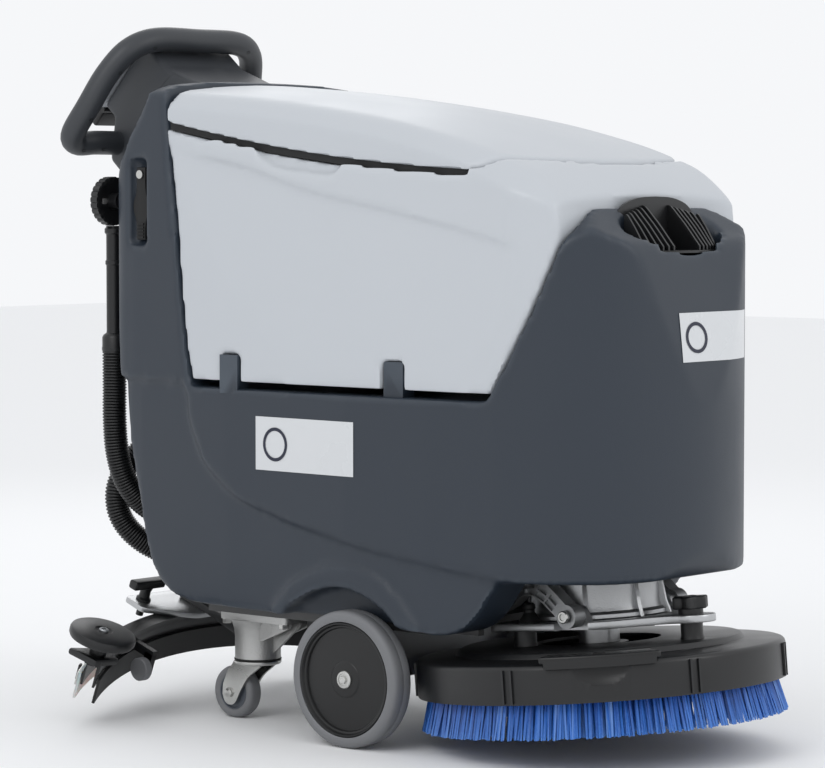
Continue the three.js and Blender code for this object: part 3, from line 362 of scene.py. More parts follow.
def finished(block):
    """The worked mesh as a bmesh again, with its holding object cleared away."""
    bm = bmesh.new()
    bm.from_mesh(block.data)
    bpy.data.objects.remove(block)
    return bm


def softened(block, voxel, rounds, strength=0.5):
    worked(block, "REMESH", mode="VOXEL", voxel_size=voxel)
    return worked(block, "SMOOTH", factor=strength, iterations=rounds)


def arc(center, radii, start, stop, steps):
    spread = [math.radians(start + (stop - start) * i / steps) for i in range(steps + 1)]
    return [(center[0] + radii[0] * math.cos(a), center[1] + radii[1] * math.sin(a)) for a in spread]


def plan(inset):
    """The shell seen from above: narrow at the column, widest at the axle, a half ellipse at the nose."""
    rear, narrow, nose = -520.9 + inset, 225 - inset, 250 - inset
    side = [(rear, 0), (rear, narrow - 70), (rear + 8, narrow - 30), (rear + 26, narrow - 8), (rear + 62, narrow)]
    side += [(-250, narrow + 20), (0, 258 - inset), (150, 256 - inset)]
    nose_arc = arc((250.1, 0), (207 - inset, nose), 90, 0, 22)
    half = curved(side[1:5], 5) + side[5:] + nose_arc
    return half + [(x, -y) for x, y in reversed(half) if y > 1e-6]


voxel = 6.0
column_face = [(-327.9, 514), (-338.9, 567), (-348.9, 642), (-360.9, 747), (-374.9, 853), (-383.9, 977)]
column_rear = [(-409.9, 970), (-503, 838), (-519, 806), (-521, 770), (-521, 730), (-513, 638), (-503, 561), (-488, 454),
               (-467, 362), (-442, 271), (-423, 226), (-391, 197), (-340, 183)]
sill = [(-243, 182), (110, 180), (146, 175), (192, 182), (228, 206), (258, 246), (282, 259), (420, 259), (446, 270), (457, 298)]
hull = loose(slab(column_face + curved(column_rear, 4) + curved(sill, 4) + [(457, 512), (-327.9, 512)], "Y", -268, 268))
crown = mirrored([(268, 150), (268, 890), *curved([(256, 926), (244, 945), (212, 963), (168, 970), (90, 974), (0, 977)], 4)])
combined(hull, slab(crown, "X", -530, 470), "INTERSECT")

tower_face = [(254.1, 515), (280.1, 558), (310.1, 615), (343.1, 698), (356.1, 746), (352.1, 786)]
tower_side = [(457, 505), (452, 560), (441, 640), (430, 706), (420, 733), (398, 748)]
tower = loose(slab([(254.1, 505), *curved(tower_side, 4), *reversed(curved(tower_face, 4))], "Y", -268, 268))
tower_front = mirrored([(250, 480), (250, 514), (238, 640), (229, 705), (206, 741), (150, 776), (112, 789), (0, 789)])
combined(tower, slab(tower_front, "X", 230, 470), "INTERSECT")
combined(hull, tower, "UNION")
combined(hull, slab(plan(0), "Z", 100, 1000), "INTERSECT")

under_sweep = [(-336, 499), (-326, 447), (-284, 389), (-213, 348), (-93, 318), (23, 297), (154, 278), (300, 262)]
flare = [(-151, 170), (-151, 195), (-102, 236), (-22, 264), (62, 248), (131, 187), (136, 170)]
set_back = loose(slab([*curved(under_sweep, 5), (300, 150), (-560, 150), (-560, 520), (-345, 520)], "Y", -280, 280))
combined(set_back, slab(curved(flare, 4), "Y", -281, 281), "DIFFERENCE")
combined(set_back, slab(plan(9), "Z", 100, 1010), "DIFFERENCE")
combined(hull, set_back, "DIFFERENCE")
arch = [(-136, 150), (-132, 184), (-102, 206), (-63, 224), (-14, 232), (43, 218), (90, 186), (98, 150)]
for side in (-1, 1):
    low, high = sorted((side * 212, side * 290))
    combined(hull, slab(curved(arch, 4), "Y", low, high), "DIFFERENCE")
combined(hull, slab([(-468, 723), (-428, 723), (-428, 855), (-468, 855)], "Y", -262, -207), "DIFFERENCE")
mouth_rim = arc((391, 0), (36, 112), 0, 360, 48)[:-1]
combined(hull, slab(mouth_rim, "Z", 712, 900), "DIFFERENCE")
softened(hull, voxel, 4)

bay = slab([(-305, -210), (92, -210), (92, 210), (-305, 210)], "Z", 215, 540)
deck_room = slab([(106, -168), (409, -168), (409, 168), (106, 168)], "Z", 120, 324)
hose_room = slab([(-560, -170), (-440, -170), (-440, 170), (-560, 170)], "Z", 270, 560)
motor_room = slab([(-560, -82), (-387, -82), (-387, 82), (-560, 82)], "Z", 600, 802)
for room in (bay, deck_room, hose_room, motor_room):
    bmesh.ops.bevel(room, geom=list(room.edges), affect="EDGES", offset=5, segments=2, profile=0.5, material=-1)
    if room is deck_room:
        room = loose(room)
        combined(room, slab(plan(13), "Z", 110, 340), "INTERSECT")
        room = finished(room)
    combined(hull, room, "DIFFERENCE")
water_room = slab([(272, -190), (350, -190), (420, -120), (420, 120), (350, 190), (272, 190)], "Z", 350, 700)
combined(hull, water_room, "DIFFERENCE")
combined(hull, slab(arc((391, 0), (28, 100), 0, 360, 40)[:-1], "Z", 680, 730), "DIFFERENCE")
for x in (-240, 82):
    combined(hull, slab([(x - 18, -245), (x + 18, -245), (x + 18, -220), (x - 18, -220)], "Z", 505, 562.5), "UNION")
    combined(hull, slab([(x - 18, 200), (x + 18, 200), (x + 18, 236), (x - 18, 236)], "Z", 505, 522.6), "UNION")

slate_plastic = moulded("slate_plastic", (0.160, 0.190, 0.228), 0.44, grain=650, relief=0.22, patch=0.10, wear=0.5,
                        worn=(0.42, 0.46, 0.50))
settle(finished(hull), "body_shell", slate_plastic, "chassis", "slate", ("lower_body",), sharp=40)

# ---------------------------------------------------------------- recovery tank and lid
# The pale upper tank drops over the battery bay. A domed lid closes it over a black seal. Both are
# rotation-moulded; tank, nose and lid share one domed outline, and a soft crease sweeps down each side.

crest_line = curved([(-460, 974), (-376, 970), (-317, 966), (-214, 957), (-113, 945), (-15, 931), (80, 914), (192, 887),
                     (262, 864), (297, 849), (330, 824), (352, 800), (372, 768), (400, 720)], 6)


def crest_at(x):
    after = next(i for i, p in enumerate(crest_line) if p[0] >= x or i == len(crest_line) - 1)
    (x0, z0), (x1, z1) = crest_line[max(after - 1, 0)], crest_line[after]
    return z0 if x1 == x0 else z0 + (z1 - z0) * (x - x0) / (x1 - x0)


def dome():
    """A solid with the dome's top: it falls gently from the middle and rolls over at the shoulders."""
    bm = bmesh.new()
    bmesh.ops.create_grid(bm, x_segments=84, y_segments=64, size=1)
    for vert in bm.verts:
        x, y = -20 + 410 * vert.co.x, 262 * vert.co.y
        share = abs(y) / 236
        roll = max(0.0, abs(y) - 196) / 44
        vert.co = (x, y, crest_at(x) - 17 * share ** 2 - 26 * roll ** 2)
    pulled = bmesh.ops.extrude_face_region(bm, geom=list(bm.faces))["geom"]
    low = [v for v in pulled if isinstance(v, bmesh.types.BMVert)]
    for vert in low:
        vert.co.z = 400
    bmesh.ops.recalc_face_normals(bm, faces=bm.faces)
    return bm


lid_rear, lid_front = -376.4, 205.1


def slot_line(offset):
    line = []
    for i in range(13):
        share = i / 12
        line.append((lid_rear + share * (lid_front - lid_rear), 898 - 74 * share - 48 * share * (1 - share) + offset))
    return line


def lid_plan(grow):
    half = 236 + grow
    side = arc((lid_front, 0), (92 + grow, half), 90, 0, 24)
    half_plan = [(lid_rear - grow, half), *side]
    return half_plan + [(x, -y) for x, y in reversed(half_plan) if y > 1e-6]


tank_face = [(x - 3, z) for x, z in tower_face]
tank_rear = [(x + 3, z) for x, z in column_face[:5]]
tank_side = [(-324.9, 523), (258, 523), *curved(tank_face[1:], 4), (372, 900), (372, 1000), (-420, 1000), *reversed(tank_rear[1:])]
tank = loose(slab(tank_side, "Y", -262, 262))
tank_front = mirrored([(250, 500), (250, 548), (236, 1000), (0, 1000)])
combined(tank, slab(tank_front, "X", -450, 400), "INTERSECT")
combined(tank, dome(), "INTERSECT")
combined(tank, slab(plan(3), "Z", 100, 1100), "INTERSECT")
lid_space = loose(slab([*slot_line(0), (310, 812), (310, 1100), (-420, 1100), (-420, 899)], "Y", -262, 262))
combined(lid_space, slab(lid_plan(2.5) + [], "Z", 500, 1100), "INTERSECT")
combined(lid_space, slab([(-430, 899), (-330, 899), (-330, 1100), (-430, 1100)], "Y", -262, 262), "UNION")
combined(tank, lid_space, "DIFFERENCE")

swoosh = [(-359, 867), (-230, 846), (-92, 810), (60, 782), (191, 756), (300, 730), (400, 700)]
for side in (-1, 1):
    hollow = slab([*curved(swoosh, 5), (400, 556), (-400, 556), (-400, 872)], "Y", 0, 60)
    for vert in hollow.verts:
        x, z = vert.co.x, vert.co.z
        depth = 7 * max(0.0, (z - 560)) / 240 + 0.4
        vert.co.y = side * ((250 - 0.0326 * (z - 548) - depth) if vert.co.y < 30 else 300)
    bmesh.ops.triangulate(hollow, faces=hollow.faces)
    bmesh.ops.recalc_face_normals(hollow, faces=hollow.faces)
    combined(tank, hollow, "DIFFERENCE")
    groove = slab([(-420, 551.5), (420, 551.5), (420, 556.5), (-420, 556.5)], "Y", *sorted((side * 246.5, side * 270)))
    combined(tank, groove, "DIFFERENCE")
    for x in (-240, 82):
        notch = slab([(x - 21, 500), (x + 21, 500), (x + 21, 563), (x - 21, 563)], "Y", *sorted((side * 217, side * 270)))
        if side < 0:
            combined(tank, notch, "DIFFERENCE")
        else:
            notch.free()
finger = slab([(-196, 880), (-184, 856), (-160, 844), (-140, 838), (-50, 829), (-34, 832), (-22, 846), (-18, 860)], "Y", -262, -229)
combined(tank, finger, "DIFFERENCE")
softened(tank, voxel * 0.9, 3)
room_side = [(-316.9, 531), (242, 531), (320, 702), (320, 802), (183, 814), (183, 918), (-354, 918), (-335, 752)]
room = loose(slab(room_side, "Y", -262, 262))
combined(room, slab(mirrored([(213, 500), (213, 548), (199, 1000), (0, 1000)]), "X", -450, 400), "INTERSECT")
combined(tank, room, "DIFFERENCE")

pale_plastic = moulded("pale_plastic", (0.725, 0.742, 0.762), 0.40, grain=800, relief=0.06, patch=0.02, wear=0.25,
                       worn=(0.90, 0.91, 0.92))
settle(finished(tank), "tank_shell", pale_plastic, "tank", "pale_grey", ("recovery_tank",), sharp=40)

lid = loose(dome())
combined(lid, slab(lid_plan(0), "Z", 500, 1100), "INTERSECT")
lid_low = [*slot_line(12), (297.1, 832), (330, 832), (330, 400), (-450, 400), (-450, 910)]
combined(lid, slab(lid_low, "Y", -262, 262), "DIFFERENCE")
softened(lid, voxel * 0.85, 3)
lid_under = [*[(x + (16 if i == 0 else -16 if i == 12 else 0), z - 5) for i, (x, z) in enumerate(slot_line(12))],
             (lid_front - 16, 856), (lid_rear + 200, 912), (lid_rear + 16, 930)]
combined(lid, slab(lid_under, "Y", -220, 220), "DIFFERENCE")
settle(finished(lid), "lid_shell", pale_plastic, "lid", "pale_grey", ("tank_lid",), sharp=40)

# ---------------------------------------------------------------- seal, bay and frame
# The lid's rubber seal, the batteries, suction motor and float are plain bought-in pieces, and the
# frame plate, transaxle and cross shaft are simple steel and cast shapes, so their shapes stay as they are.

black_rubber = moulded("black_rubber", (0.06, 0.062, 0.066), 0.62, grain=700, relief=0.1, patch=0.3)
battery_case = moulded("battery_case", (0.10, 0.105, 0.115), 0.45, grain=1200, relief=0.15, patch=0.15)
motor_case = moulded("motor_case", (0.60, 0.61, 0.62), 0.38, grain=1500, relief=0.08, patch=0.25, metal=0.9)
frame_paint = moulded("frame_paint", (0.13, 0.135, 0.14), 0.42, grain=500, relief=0.12, patch=0.3, wear=0.6, worn=(0.5, 0.5, 0.5))
gear_casting = moulded("gear_casting", (0.62, 0.625, 0.63), 0.45, grain=380, relief=0.4, patch=0.3, metal=0.9, wear=0.4)
float_plastic = moulded("float_plastic", (0.12, 0.12, 0.13), 0.5, grain=900, relief=0.12, patch=0.2)
for node, finish in (("lid_seal", black_rubber), ("battery_left", battery_case), ("battery_right", battery_case),
                     ("vacuum_motor", motor_case), ("base_frame", frame_paint), ("transaxle", gear_casting),
                     ("deck_cross_shaft", motor_case), ("float_cage", float_plastic)):
    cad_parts[node].material_slots[0].material = finish

# ---------------------------------------------------------------- filling grille
# Black moulded ribs curve up from front to back across the filling mouth, in two groups, and stop
# rubbish falling into the clean water tank. They stand on a thin oval plate with an arched back wall.

black_plastic = moulded("black_plastic", (0.085, 0.088, 0.094), 0.36, grain=1100, relief=0.12, patch=0.2, wear=0.4,
                        worn=(0.22, 0.225, 0.23))
grille = loose(slab(arc((391, 0), (33.4, 107.4), 0, 360, 48)[:-1], "Z", 718.4, 722))
back_wall = mirrored([(92, 718.4), (94, 764), *curved([(90, 776), (72, 788), (40, 796), (0, 798)], 4)])
combined(grille, slab(back_wall, "X", 360, 364), "UNION")
for y in (-86, -75, -64, -53, -42, -31, 31, 42, 53, 64, 75, 86):
    reach = 30 * math.sqrt(1 - (y / 104) ** 2)
    top = curved([(391 - reach, 719), (391 - reach, 790 - abs(y) * 0.22), (391 - reach * 0.2, 772 - abs(y) * 0.14), (391 + reach, 728)], 5)
    combined(grille, slab([*top, (391 + reach, 719)], "Y", y - 1.8, y + 1.8), "UNION")
settle(finished(grille), "filling_grille", black_plastic, "chassis", "black_plastic", ("filler_grille",))

# ---------------------------------------------------------------- latch strap
# A rubber strap hooks the column's cover shut. It hangs in a recess from one screw, swells in the
# middle for the thumb, and ends in a ribbed pull.

strap_half = [(-457.5, 842), (-457.5, 818), (-459, 802), (-464.5, 788), (-464.5, 776), (-459, 760), (-457, 746), (-457, 731)]
strap_line = curved(strap_half, 4)
strap = slab(strap_line + [(-896 - x, z) for x, z in reversed(strap_line)], "Y", -218, -206.5)
bmesh.ops.bevel(strap, geom=[e for e in strap.edges if abs(e.verts[0].co.y - e.verts[1].co.y) < 1], affect="EDGES",
                offset=2.2, segments=2, profile=0.5, material=-1)
strap = loose(strap)
for row in range(5):
    rib = slab([(-455, 734 + row * 5), (-441, 734 + row * 5), (-441, 736.5 + row * 5), (-455, 736.5 + row * 5)], "Y", -220.5, -212)
    combined(strap, rib, "UNION")
settle(finished(strap), "strap_moulding", black_rubber, "latch", "rubber", ("latch_strap",))


def turned(profile, segments=48):
    """A profile of (radius, height) points spun once round the Z axis, and closed."""
    bm = bmesh.new()
    points = [bm.verts.new((r, 0, z)) for r, z in profile]
    edges = [bm.edges.new(pair) for pair in zip(points, points[1:])]
    if profile[0][0] > 0 or profile[-1][0] > 0:
        edges.append(bm.edges.new((points[-1], points[0])))
    bmesh.ops.spin(bm, geom=points + edges, axis=(0, 0, 1), cent=(0, 0, 0), steps=segments, angle=2 * math.pi, use_merge=True)
    bmesh.ops.remove_doubles(bm, verts=bm.verts, dist=0.001)
    bmesh.ops.dissolve_degenerate(bm, edges=bm.edges, dist=0.0005)
    bmesh.ops.recalc_face_normals(bm, faces=bm.faces)
    return bm


def lying(bm, axis):
    """Turns a piece built up Z so that it lies along Y or X."""
    turn = Matrix.Rotation(math.radians(-90), 4, "X") if axis == "Y" else Matrix.Rotation(math.radians(90), 4, "Y")
    bm.transform(turn)
    return bm


def at(bm, x, y, z):
    bmesh.ops.translate(bm, vec=(x, y, z), verts=bm.verts)
    return bm


bright_zinc = moulded("bright_zinc", (0.74, 0.74, 0.73), 0.27, grain=1400, relief=0.06, patch=0.22, metal=1.0, wear=0.3)
screw = turned([(0, 0), (6.5, 0), (6.5, 2.4), (5, 3.4), (2.6, 3.4), (2.6, 1.4), (0, 1.4)], 24)
settle(at(lying(screw, "Y"), -448, -221.4, 831), "strap_screw", bright_zinc, "latch", "steel")

# ---------------------------------------------------------------- rear service cover
# A flat black cover screwed over the suction motor, with louvres to let its air out.

cover = slab([(-95, 589), (95, 589), (95, 811), (-95, 811)], "X", -527.2, -521.4)
bmesh.ops.bevel(cover, geom=[e for e in cover.edges if abs(e.verts[0].co.x - e.verts[1].co.x) > 1], affect="EDGES",
                offset=16, segments=5, profile=0.5, material=-1)
cover = loose(cover)
for row in range(5):
    z = 630 + row * 22
    louvre = slab([(-50, z), (50, z), (50, z + 9), (-50, z + 9)], "X", -530, -518)
    combined(cover, louvre, "DIFFERENCE")
settle(finished(cover), "service_cover", black_plastic, "chassis", "black_plastic", ("rear_cover",))
for n, (y, z) in enumerate(((-82, 602), (82, 602), (82, 798), (-82, 798))):
    head = turned([(0, 0), (5.5, 0), (5, 2), (2.2, 2.4), (2.2, 1), (0, 1)], 20)
    head.transform(Matrix.Rotation(math.radians(-90), 4, "Y"))
    settle(at(head, -527.2, y, z), f"cover_screw_{n}", bright_zinc, "chassis", "steel")

# ---------------------------------------------------------------- console and handle
# The handle is a foam-skinned tube in a closed loop, screwed to a dark moulded neck. A pale panel with
# a display, a key switch and a start button slopes back to the user, over a sprung drive paddle.

to_console = Matrix.Translation((-559.9, 0, 1050)) @ Matrix.Rotation(math.radians(-48), 4, "Y")
grip_grey = moulded("grip_grey", (0.215, 0.225, 0.240), 0.46, grain=520, relief=0.16, patch=0.15, wear=0.5, worn=(0.36, 0.37, 0.39))
neck_side = [(-414.5, 963.5), (-462, 979), (-519, 1001), (-566.5, 1042.3), (-656, 942.8), (-634, 922.5), (-643.9, 855), (-611.9, 827), (-516.6, 818.6)]
neck = slab(neck_side, "Y", -92, 92)
bmesh.ops.bevel(neck, geom=[e for e in neck.edges], affect="EDGES", offset=9, segments=4, profile=0.5, material=-1)
neck = loose(neck)
seam = curved([(-470, 1010), (-520, 975), (-566, 930), (-590, 880), (-600, 820)], 6)
for side in (-1, 1):
    band = slab(seam + [(x - 2.5, z - 1.5) for x, z in reversed(seam)], "Y", *sorted((side * 89.5, side * 96)))
    combined(neck, band, "DIFFERENCE")
settle(finished(neck), "neck_moulding", grip_grey, "chassis", "grip_grey", ("console_neck",))

panel_plan = [(0, 0), (0, 72), *arc((-40, 72), (40, 40), 0, 90, 8)[1:], (-150, 98), (-150, 0)]
panel = slab(panel_plan + [(x, -y) for x, y in reversed(panel_plan[1:-1])], "Z", 0, 14)
bmesh.ops.remove_doubles(panel, verts=panel.verts, dist=0.01)
bmesh.ops.bevel(panel, geom=[e for e in panel.edges if e.calc_face_angle(0) > 1], affect="EDGES", offset=3, segments=3, profile=0.5, material=-1)
panel = loose(panel)
for y, radius in ((-60, 15), (60, 14)):
    combined(panel, at(turned([(0, 6), (radius, 6), (radius, 22), (0, 22)], 36), -120, y, 0), "DIFFERENCE")
combined(panel, slab([(-84, -62), (-28, -62), (-28, 62), (-84, 62)], "Z", 12.4, 22), "DIFFERENCE")
panel = finished(panel)
panel.transform(to_console)
settle(panel, "panel_moulding", pale_plastic, "chassis", "pale_grey", ("console_panel",))
display_glass = moulded("display_glass", (0.05, 0.065, 0.08), 0.12, grain=40, relief=0.0, patch=0.1, coat=0.6)
display = slab([(-83, -61), (-29, -61), (-29, 61), (-83, 61)], "Z", 12.5, 14.6)
bmesh.ops.bevel(display, geom=list(display.edges), affect="EDGES", offset=0.9, segments=2, profile=0.5, material=-1)
display.transform(to_console)
settle(display, "display_window", display_glass, "chassis", "black_plastic")
soft_key = moulded("soft_key", (0.30, 0.32, 0.35), 0.5, grain=900, relief=0.1, patch=0.1)
for n, y in enumerate((-30, -10, 10, 30)):
    key = at(turned([(0, 12), (7, 12), (7, 15), (5.6, 16), (0, 16.3)], 28), -112, y, 0)
    key.transform(to_console)
    settle(key, f"soft_key_{n}", soft_key, "chassis", "black_plastic")

signal_red = moulded("signal_red", (0.72, 0.13, 0.11), 0.28, grain=1200, relief=0.05, patch=0.12)
start_green = moulded("start_green", (0.16, 0.55, 0.25), 0.28, grain=1200, relief=0.05, patch=0.12)
key_turn = loose(turned([(0, 6.3), (13, 6.3), (13, 15), (11.6, 16.4), (9, 17), (0, 17)], 40))
combined(key_turn, slab([(-11, -2.6), (11, -2.6), (11, 2.6), (-11, 2.6)], "Z", 15, 23.3), "UNION")
key_turn = at(finished(key_turn), -120, -60, 0)
key_turn.transform(to_console)
settle(key_turn, "key_turn_switch", signal_red, "key", "red_plastic", ("key_switch",))
start = at(turned([(0, 9.3), (13, 9.3), (13, 18), (11.6, 19.6), (8, 20.3), (0, 19.4)], 40), -120, 60, 0)
start.transform(to_console)
settle(start, "start_push", start_green, "button", "green_plastic", ("start_button",))

paddle = slab([(-188.3, -2), (-156.3, -2), (-156.3, 10), (-188.3, 10)], "Y", -84, 84)
bmesh.ops.bevel(paddle, geom=list(paddle.edges), affect="EDGES", offset=4.4, segments=4, profile=0.5, material=-1)
paddle = loose(paddle)
combined(paddle, at(lying(turned([(0, -84), (6, -84), (6, 84), (0, 84)], 28), "Y"), -156.3, 0, 4), "UNION")
paddle = finished(paddle)
paddle.transform(to_console)
settle(paddle, "paddle_bar", black_plastic, "paddle", "black_plastic", ("drive_paddle",))

right_half = [Vector(p) for p in [(-535, 0, 1044), (-537, -92, 1043), (-551, -138, 1026), (-574, -164, 988), (-598, -182, 938),
                                  (-624, -190, 896), (-634, -172, 881), (-628, -140, 882), (-628, -92.3, 882)]]
loop_line = flowing([Vector((p.x, -p.y, p.z)) for p in reversed(right_half[1:])] + right_half, 8)
loop_length = sum((b - a).length for a, b in zip(loop_line, loop_line[1:]))
tube = turned([(0, 0), (19, 0), (19, loop_length), (0, loop_length)], 32)
rings = [e for e in tube.edges if abs(e.verts[0].co.z - e.verts[1].co.z) > 1]
bmesh.ops.subdivide_edges(tube, edges=rings, cuts=150, use_grid_fill=False)
bend_along(tube, loop_line)
settle(tube, "handle_tube", grip_grey, "chassis", "grip_grey", ("handle_loop",), sharp=50)
for n, share in enumerate((0.055, 0.12, 0.24, 0.33, 0.42, 0.58, 0.67, 0.76, 0.88, 0.945)):
    at_line = min(int(share * len(loop_line)), len(loop_line) - 2)
    spot, ahead = loop_line[at_line], (loop_line[at_line + 1] - loop_line[at_line]).normalized()
    out = Vector((0.80, 0, -0.60))
    out = (out - ahead * out.dot(ahead)).normalized()
    plug = turned([(0, 17.6), (2.7, 17.6), (3.4, 19.25), (2.2, 19.3), (1.8, 18.2), (0, 18.2)], 16)
    plug.transform(Matrix.Translation(spot) @ out.to_track_quat("Z", "Y").to_matrix().to_4x4())
    settle(plug, f"handle_screw_{n}", black_plastic, "chassis", "black_plastic")

# ---------------------------------------------------------------- drain fitting
# A rigid black tube with a moulded cuff clips down the back of the column. Its bayonet cap has finger
# ribs round the rim and a square hole for the tether.

drain_cap = bmesh.new()
bmesh.ops.create_cone(drain_cap, cap_ends=True, segments=96, radius1=38, radius2=38, depth=14)
for vert in drain_cap.verts:
    angle = math.atan2(vert.co.y, vert.co.x)
    pull = 0.955 if math.sin(angle * 24) > 0.2 else 1.0
    vert.co.x, vert.co.y = vert.co.x * pull, vert.co.y * pull
caps = [f for f in drain_cap.faces if len(f.verts) > 4]
bmesh.ops.inset_region(drain_cap, faces=caps, thickness=7, depth=-2.5)
bmesh.ops.recalc_face_normals(drain_cap, faces=drain_cap.faces)
drain_cap = loose(drain_cap)
combined(drain_cap, slab([(-4.5, -22), (4.5, -22), (4.5, -13), (-4.5, -13)], "Z", -20, 20), "DIFFERENCE")
combined(drain_cap, turned([(0, 0), (13, 0), (13, 23.2), (0, 23.2)], 32), "UNION")
drain_cap = finished(drain_cap)
drain_cap.transform(Matrix.Rotation(math.radians(90), 4, "Y"))
settle(at(drain_cap, -544.9, -186, 790), "bayonet_cap", black_plastic, "chassis", "black_plastic", ("drain_cap",))
tube_profile = [(0, 556), (19, 556), (19.6, 559), (19.6, 562), (19, 564), (19, 578), (17, 582), (12.5, 585), (12, 588), (12, 690),
                (13.5, 692), (13.5, 697), (12, 699), (12, 738), (14.5, 741), (14.5, 747), (12, 750), (12, 751.7), (0, 751.7)]
settle(at(turned(tube_profile, 36), -544.9, -180, 0), "drain_pipe", black_plastic, "chassis", "black_plastic", ("drain_tube",))

# ---------------------------------------------------------------- drive wheels
# Each wheel is a grey rubber tyre on a black dished hub, with a stepped rim and a bright bolt on the
# axle. The tread is smooth with a fine parting line.

tyre_rubber = moulded("tyre_rubber", (0.43, 0.435, 0.445), 0.58, grain=420, relief=0.16, patch=0.22, wear=0.4, worn=(0.60, 0.60, 0.61))
hub_black = moulded("hub_black", (0.060, 0.063, 0.068), 0.33, grain=1000, relief=0.1, patch=0.2)
for side, label in ((-1, "right"), (1, "left")):
    tread = [(84.2, -19), (86, -20), (92, -20), (96.5, -18.6), (99, -15.5), (100, -11), (100, -0.8), (99.6, 0), (100, 0.8), (100, 11),
             (99, 15.5), (96.5, 18.6), (92, 20), (86, 20), (84.2, 19)]
    tyre = at(lying(turned(tread, 96), "Y"), 0, side * 242, 100)
    settle(tyre, f"drive_tread_{label}", tyre_rubber, f"drive_wheel_{label}", "tyre_grey", (f"drive_tyre_{label}",), sharp=50)
    dish = [(0, -19), (83.6, -19), (83.6, 17.5), (82.4, 19), (80.6, 19), (79.6, 17.4), (78.4, 15), (75.8, 14.4), (75, 13), (74.4, 11.4),
            (40, 13.2), (27, 13.6), (25.5, 14.8), (24, 15), (0, 15)]
    hub = lying(turned(dish, 96), "Y")
    bolt = lying(turned([(0, 14), (13, 14), (13, 17.4), (12, 18.6), (9, 19), (8.6, 18.2), (0, 18.2)], 40), "Y")
    hex_head = lying(turned([(0, 18), (6.2, 18), (6.2, 20.6), (5.4, 21.4), (0, 21.4)], 6), "Y")
    for part, name, finish, slot, replaced in (
            (hub, "hub_dish", hub_black, "black_plastic", (f"drive_hub_{label}",)), (bolt, "axle_cap", bright_zinc, "steel", ()),
            (hex_head, "axle_bolt", bright_zinc, "steel", ())):
        if side < 0:
            part.transform(Matrix.Rotation(math.pi, 4, "Z"))
        settle(at(part, 0, side * 242, 100), f"{name}_{label}", finish, f"drive_wheel_{label}", slot, replaced)

# ---------------------------------------------------------------- rear casters
# A rough cast barrel and gusset bolt up to the frame plate. Below a black dust ring, a folded zinc fork
# swivels and holds a grey tyred wheel on a through bolt.

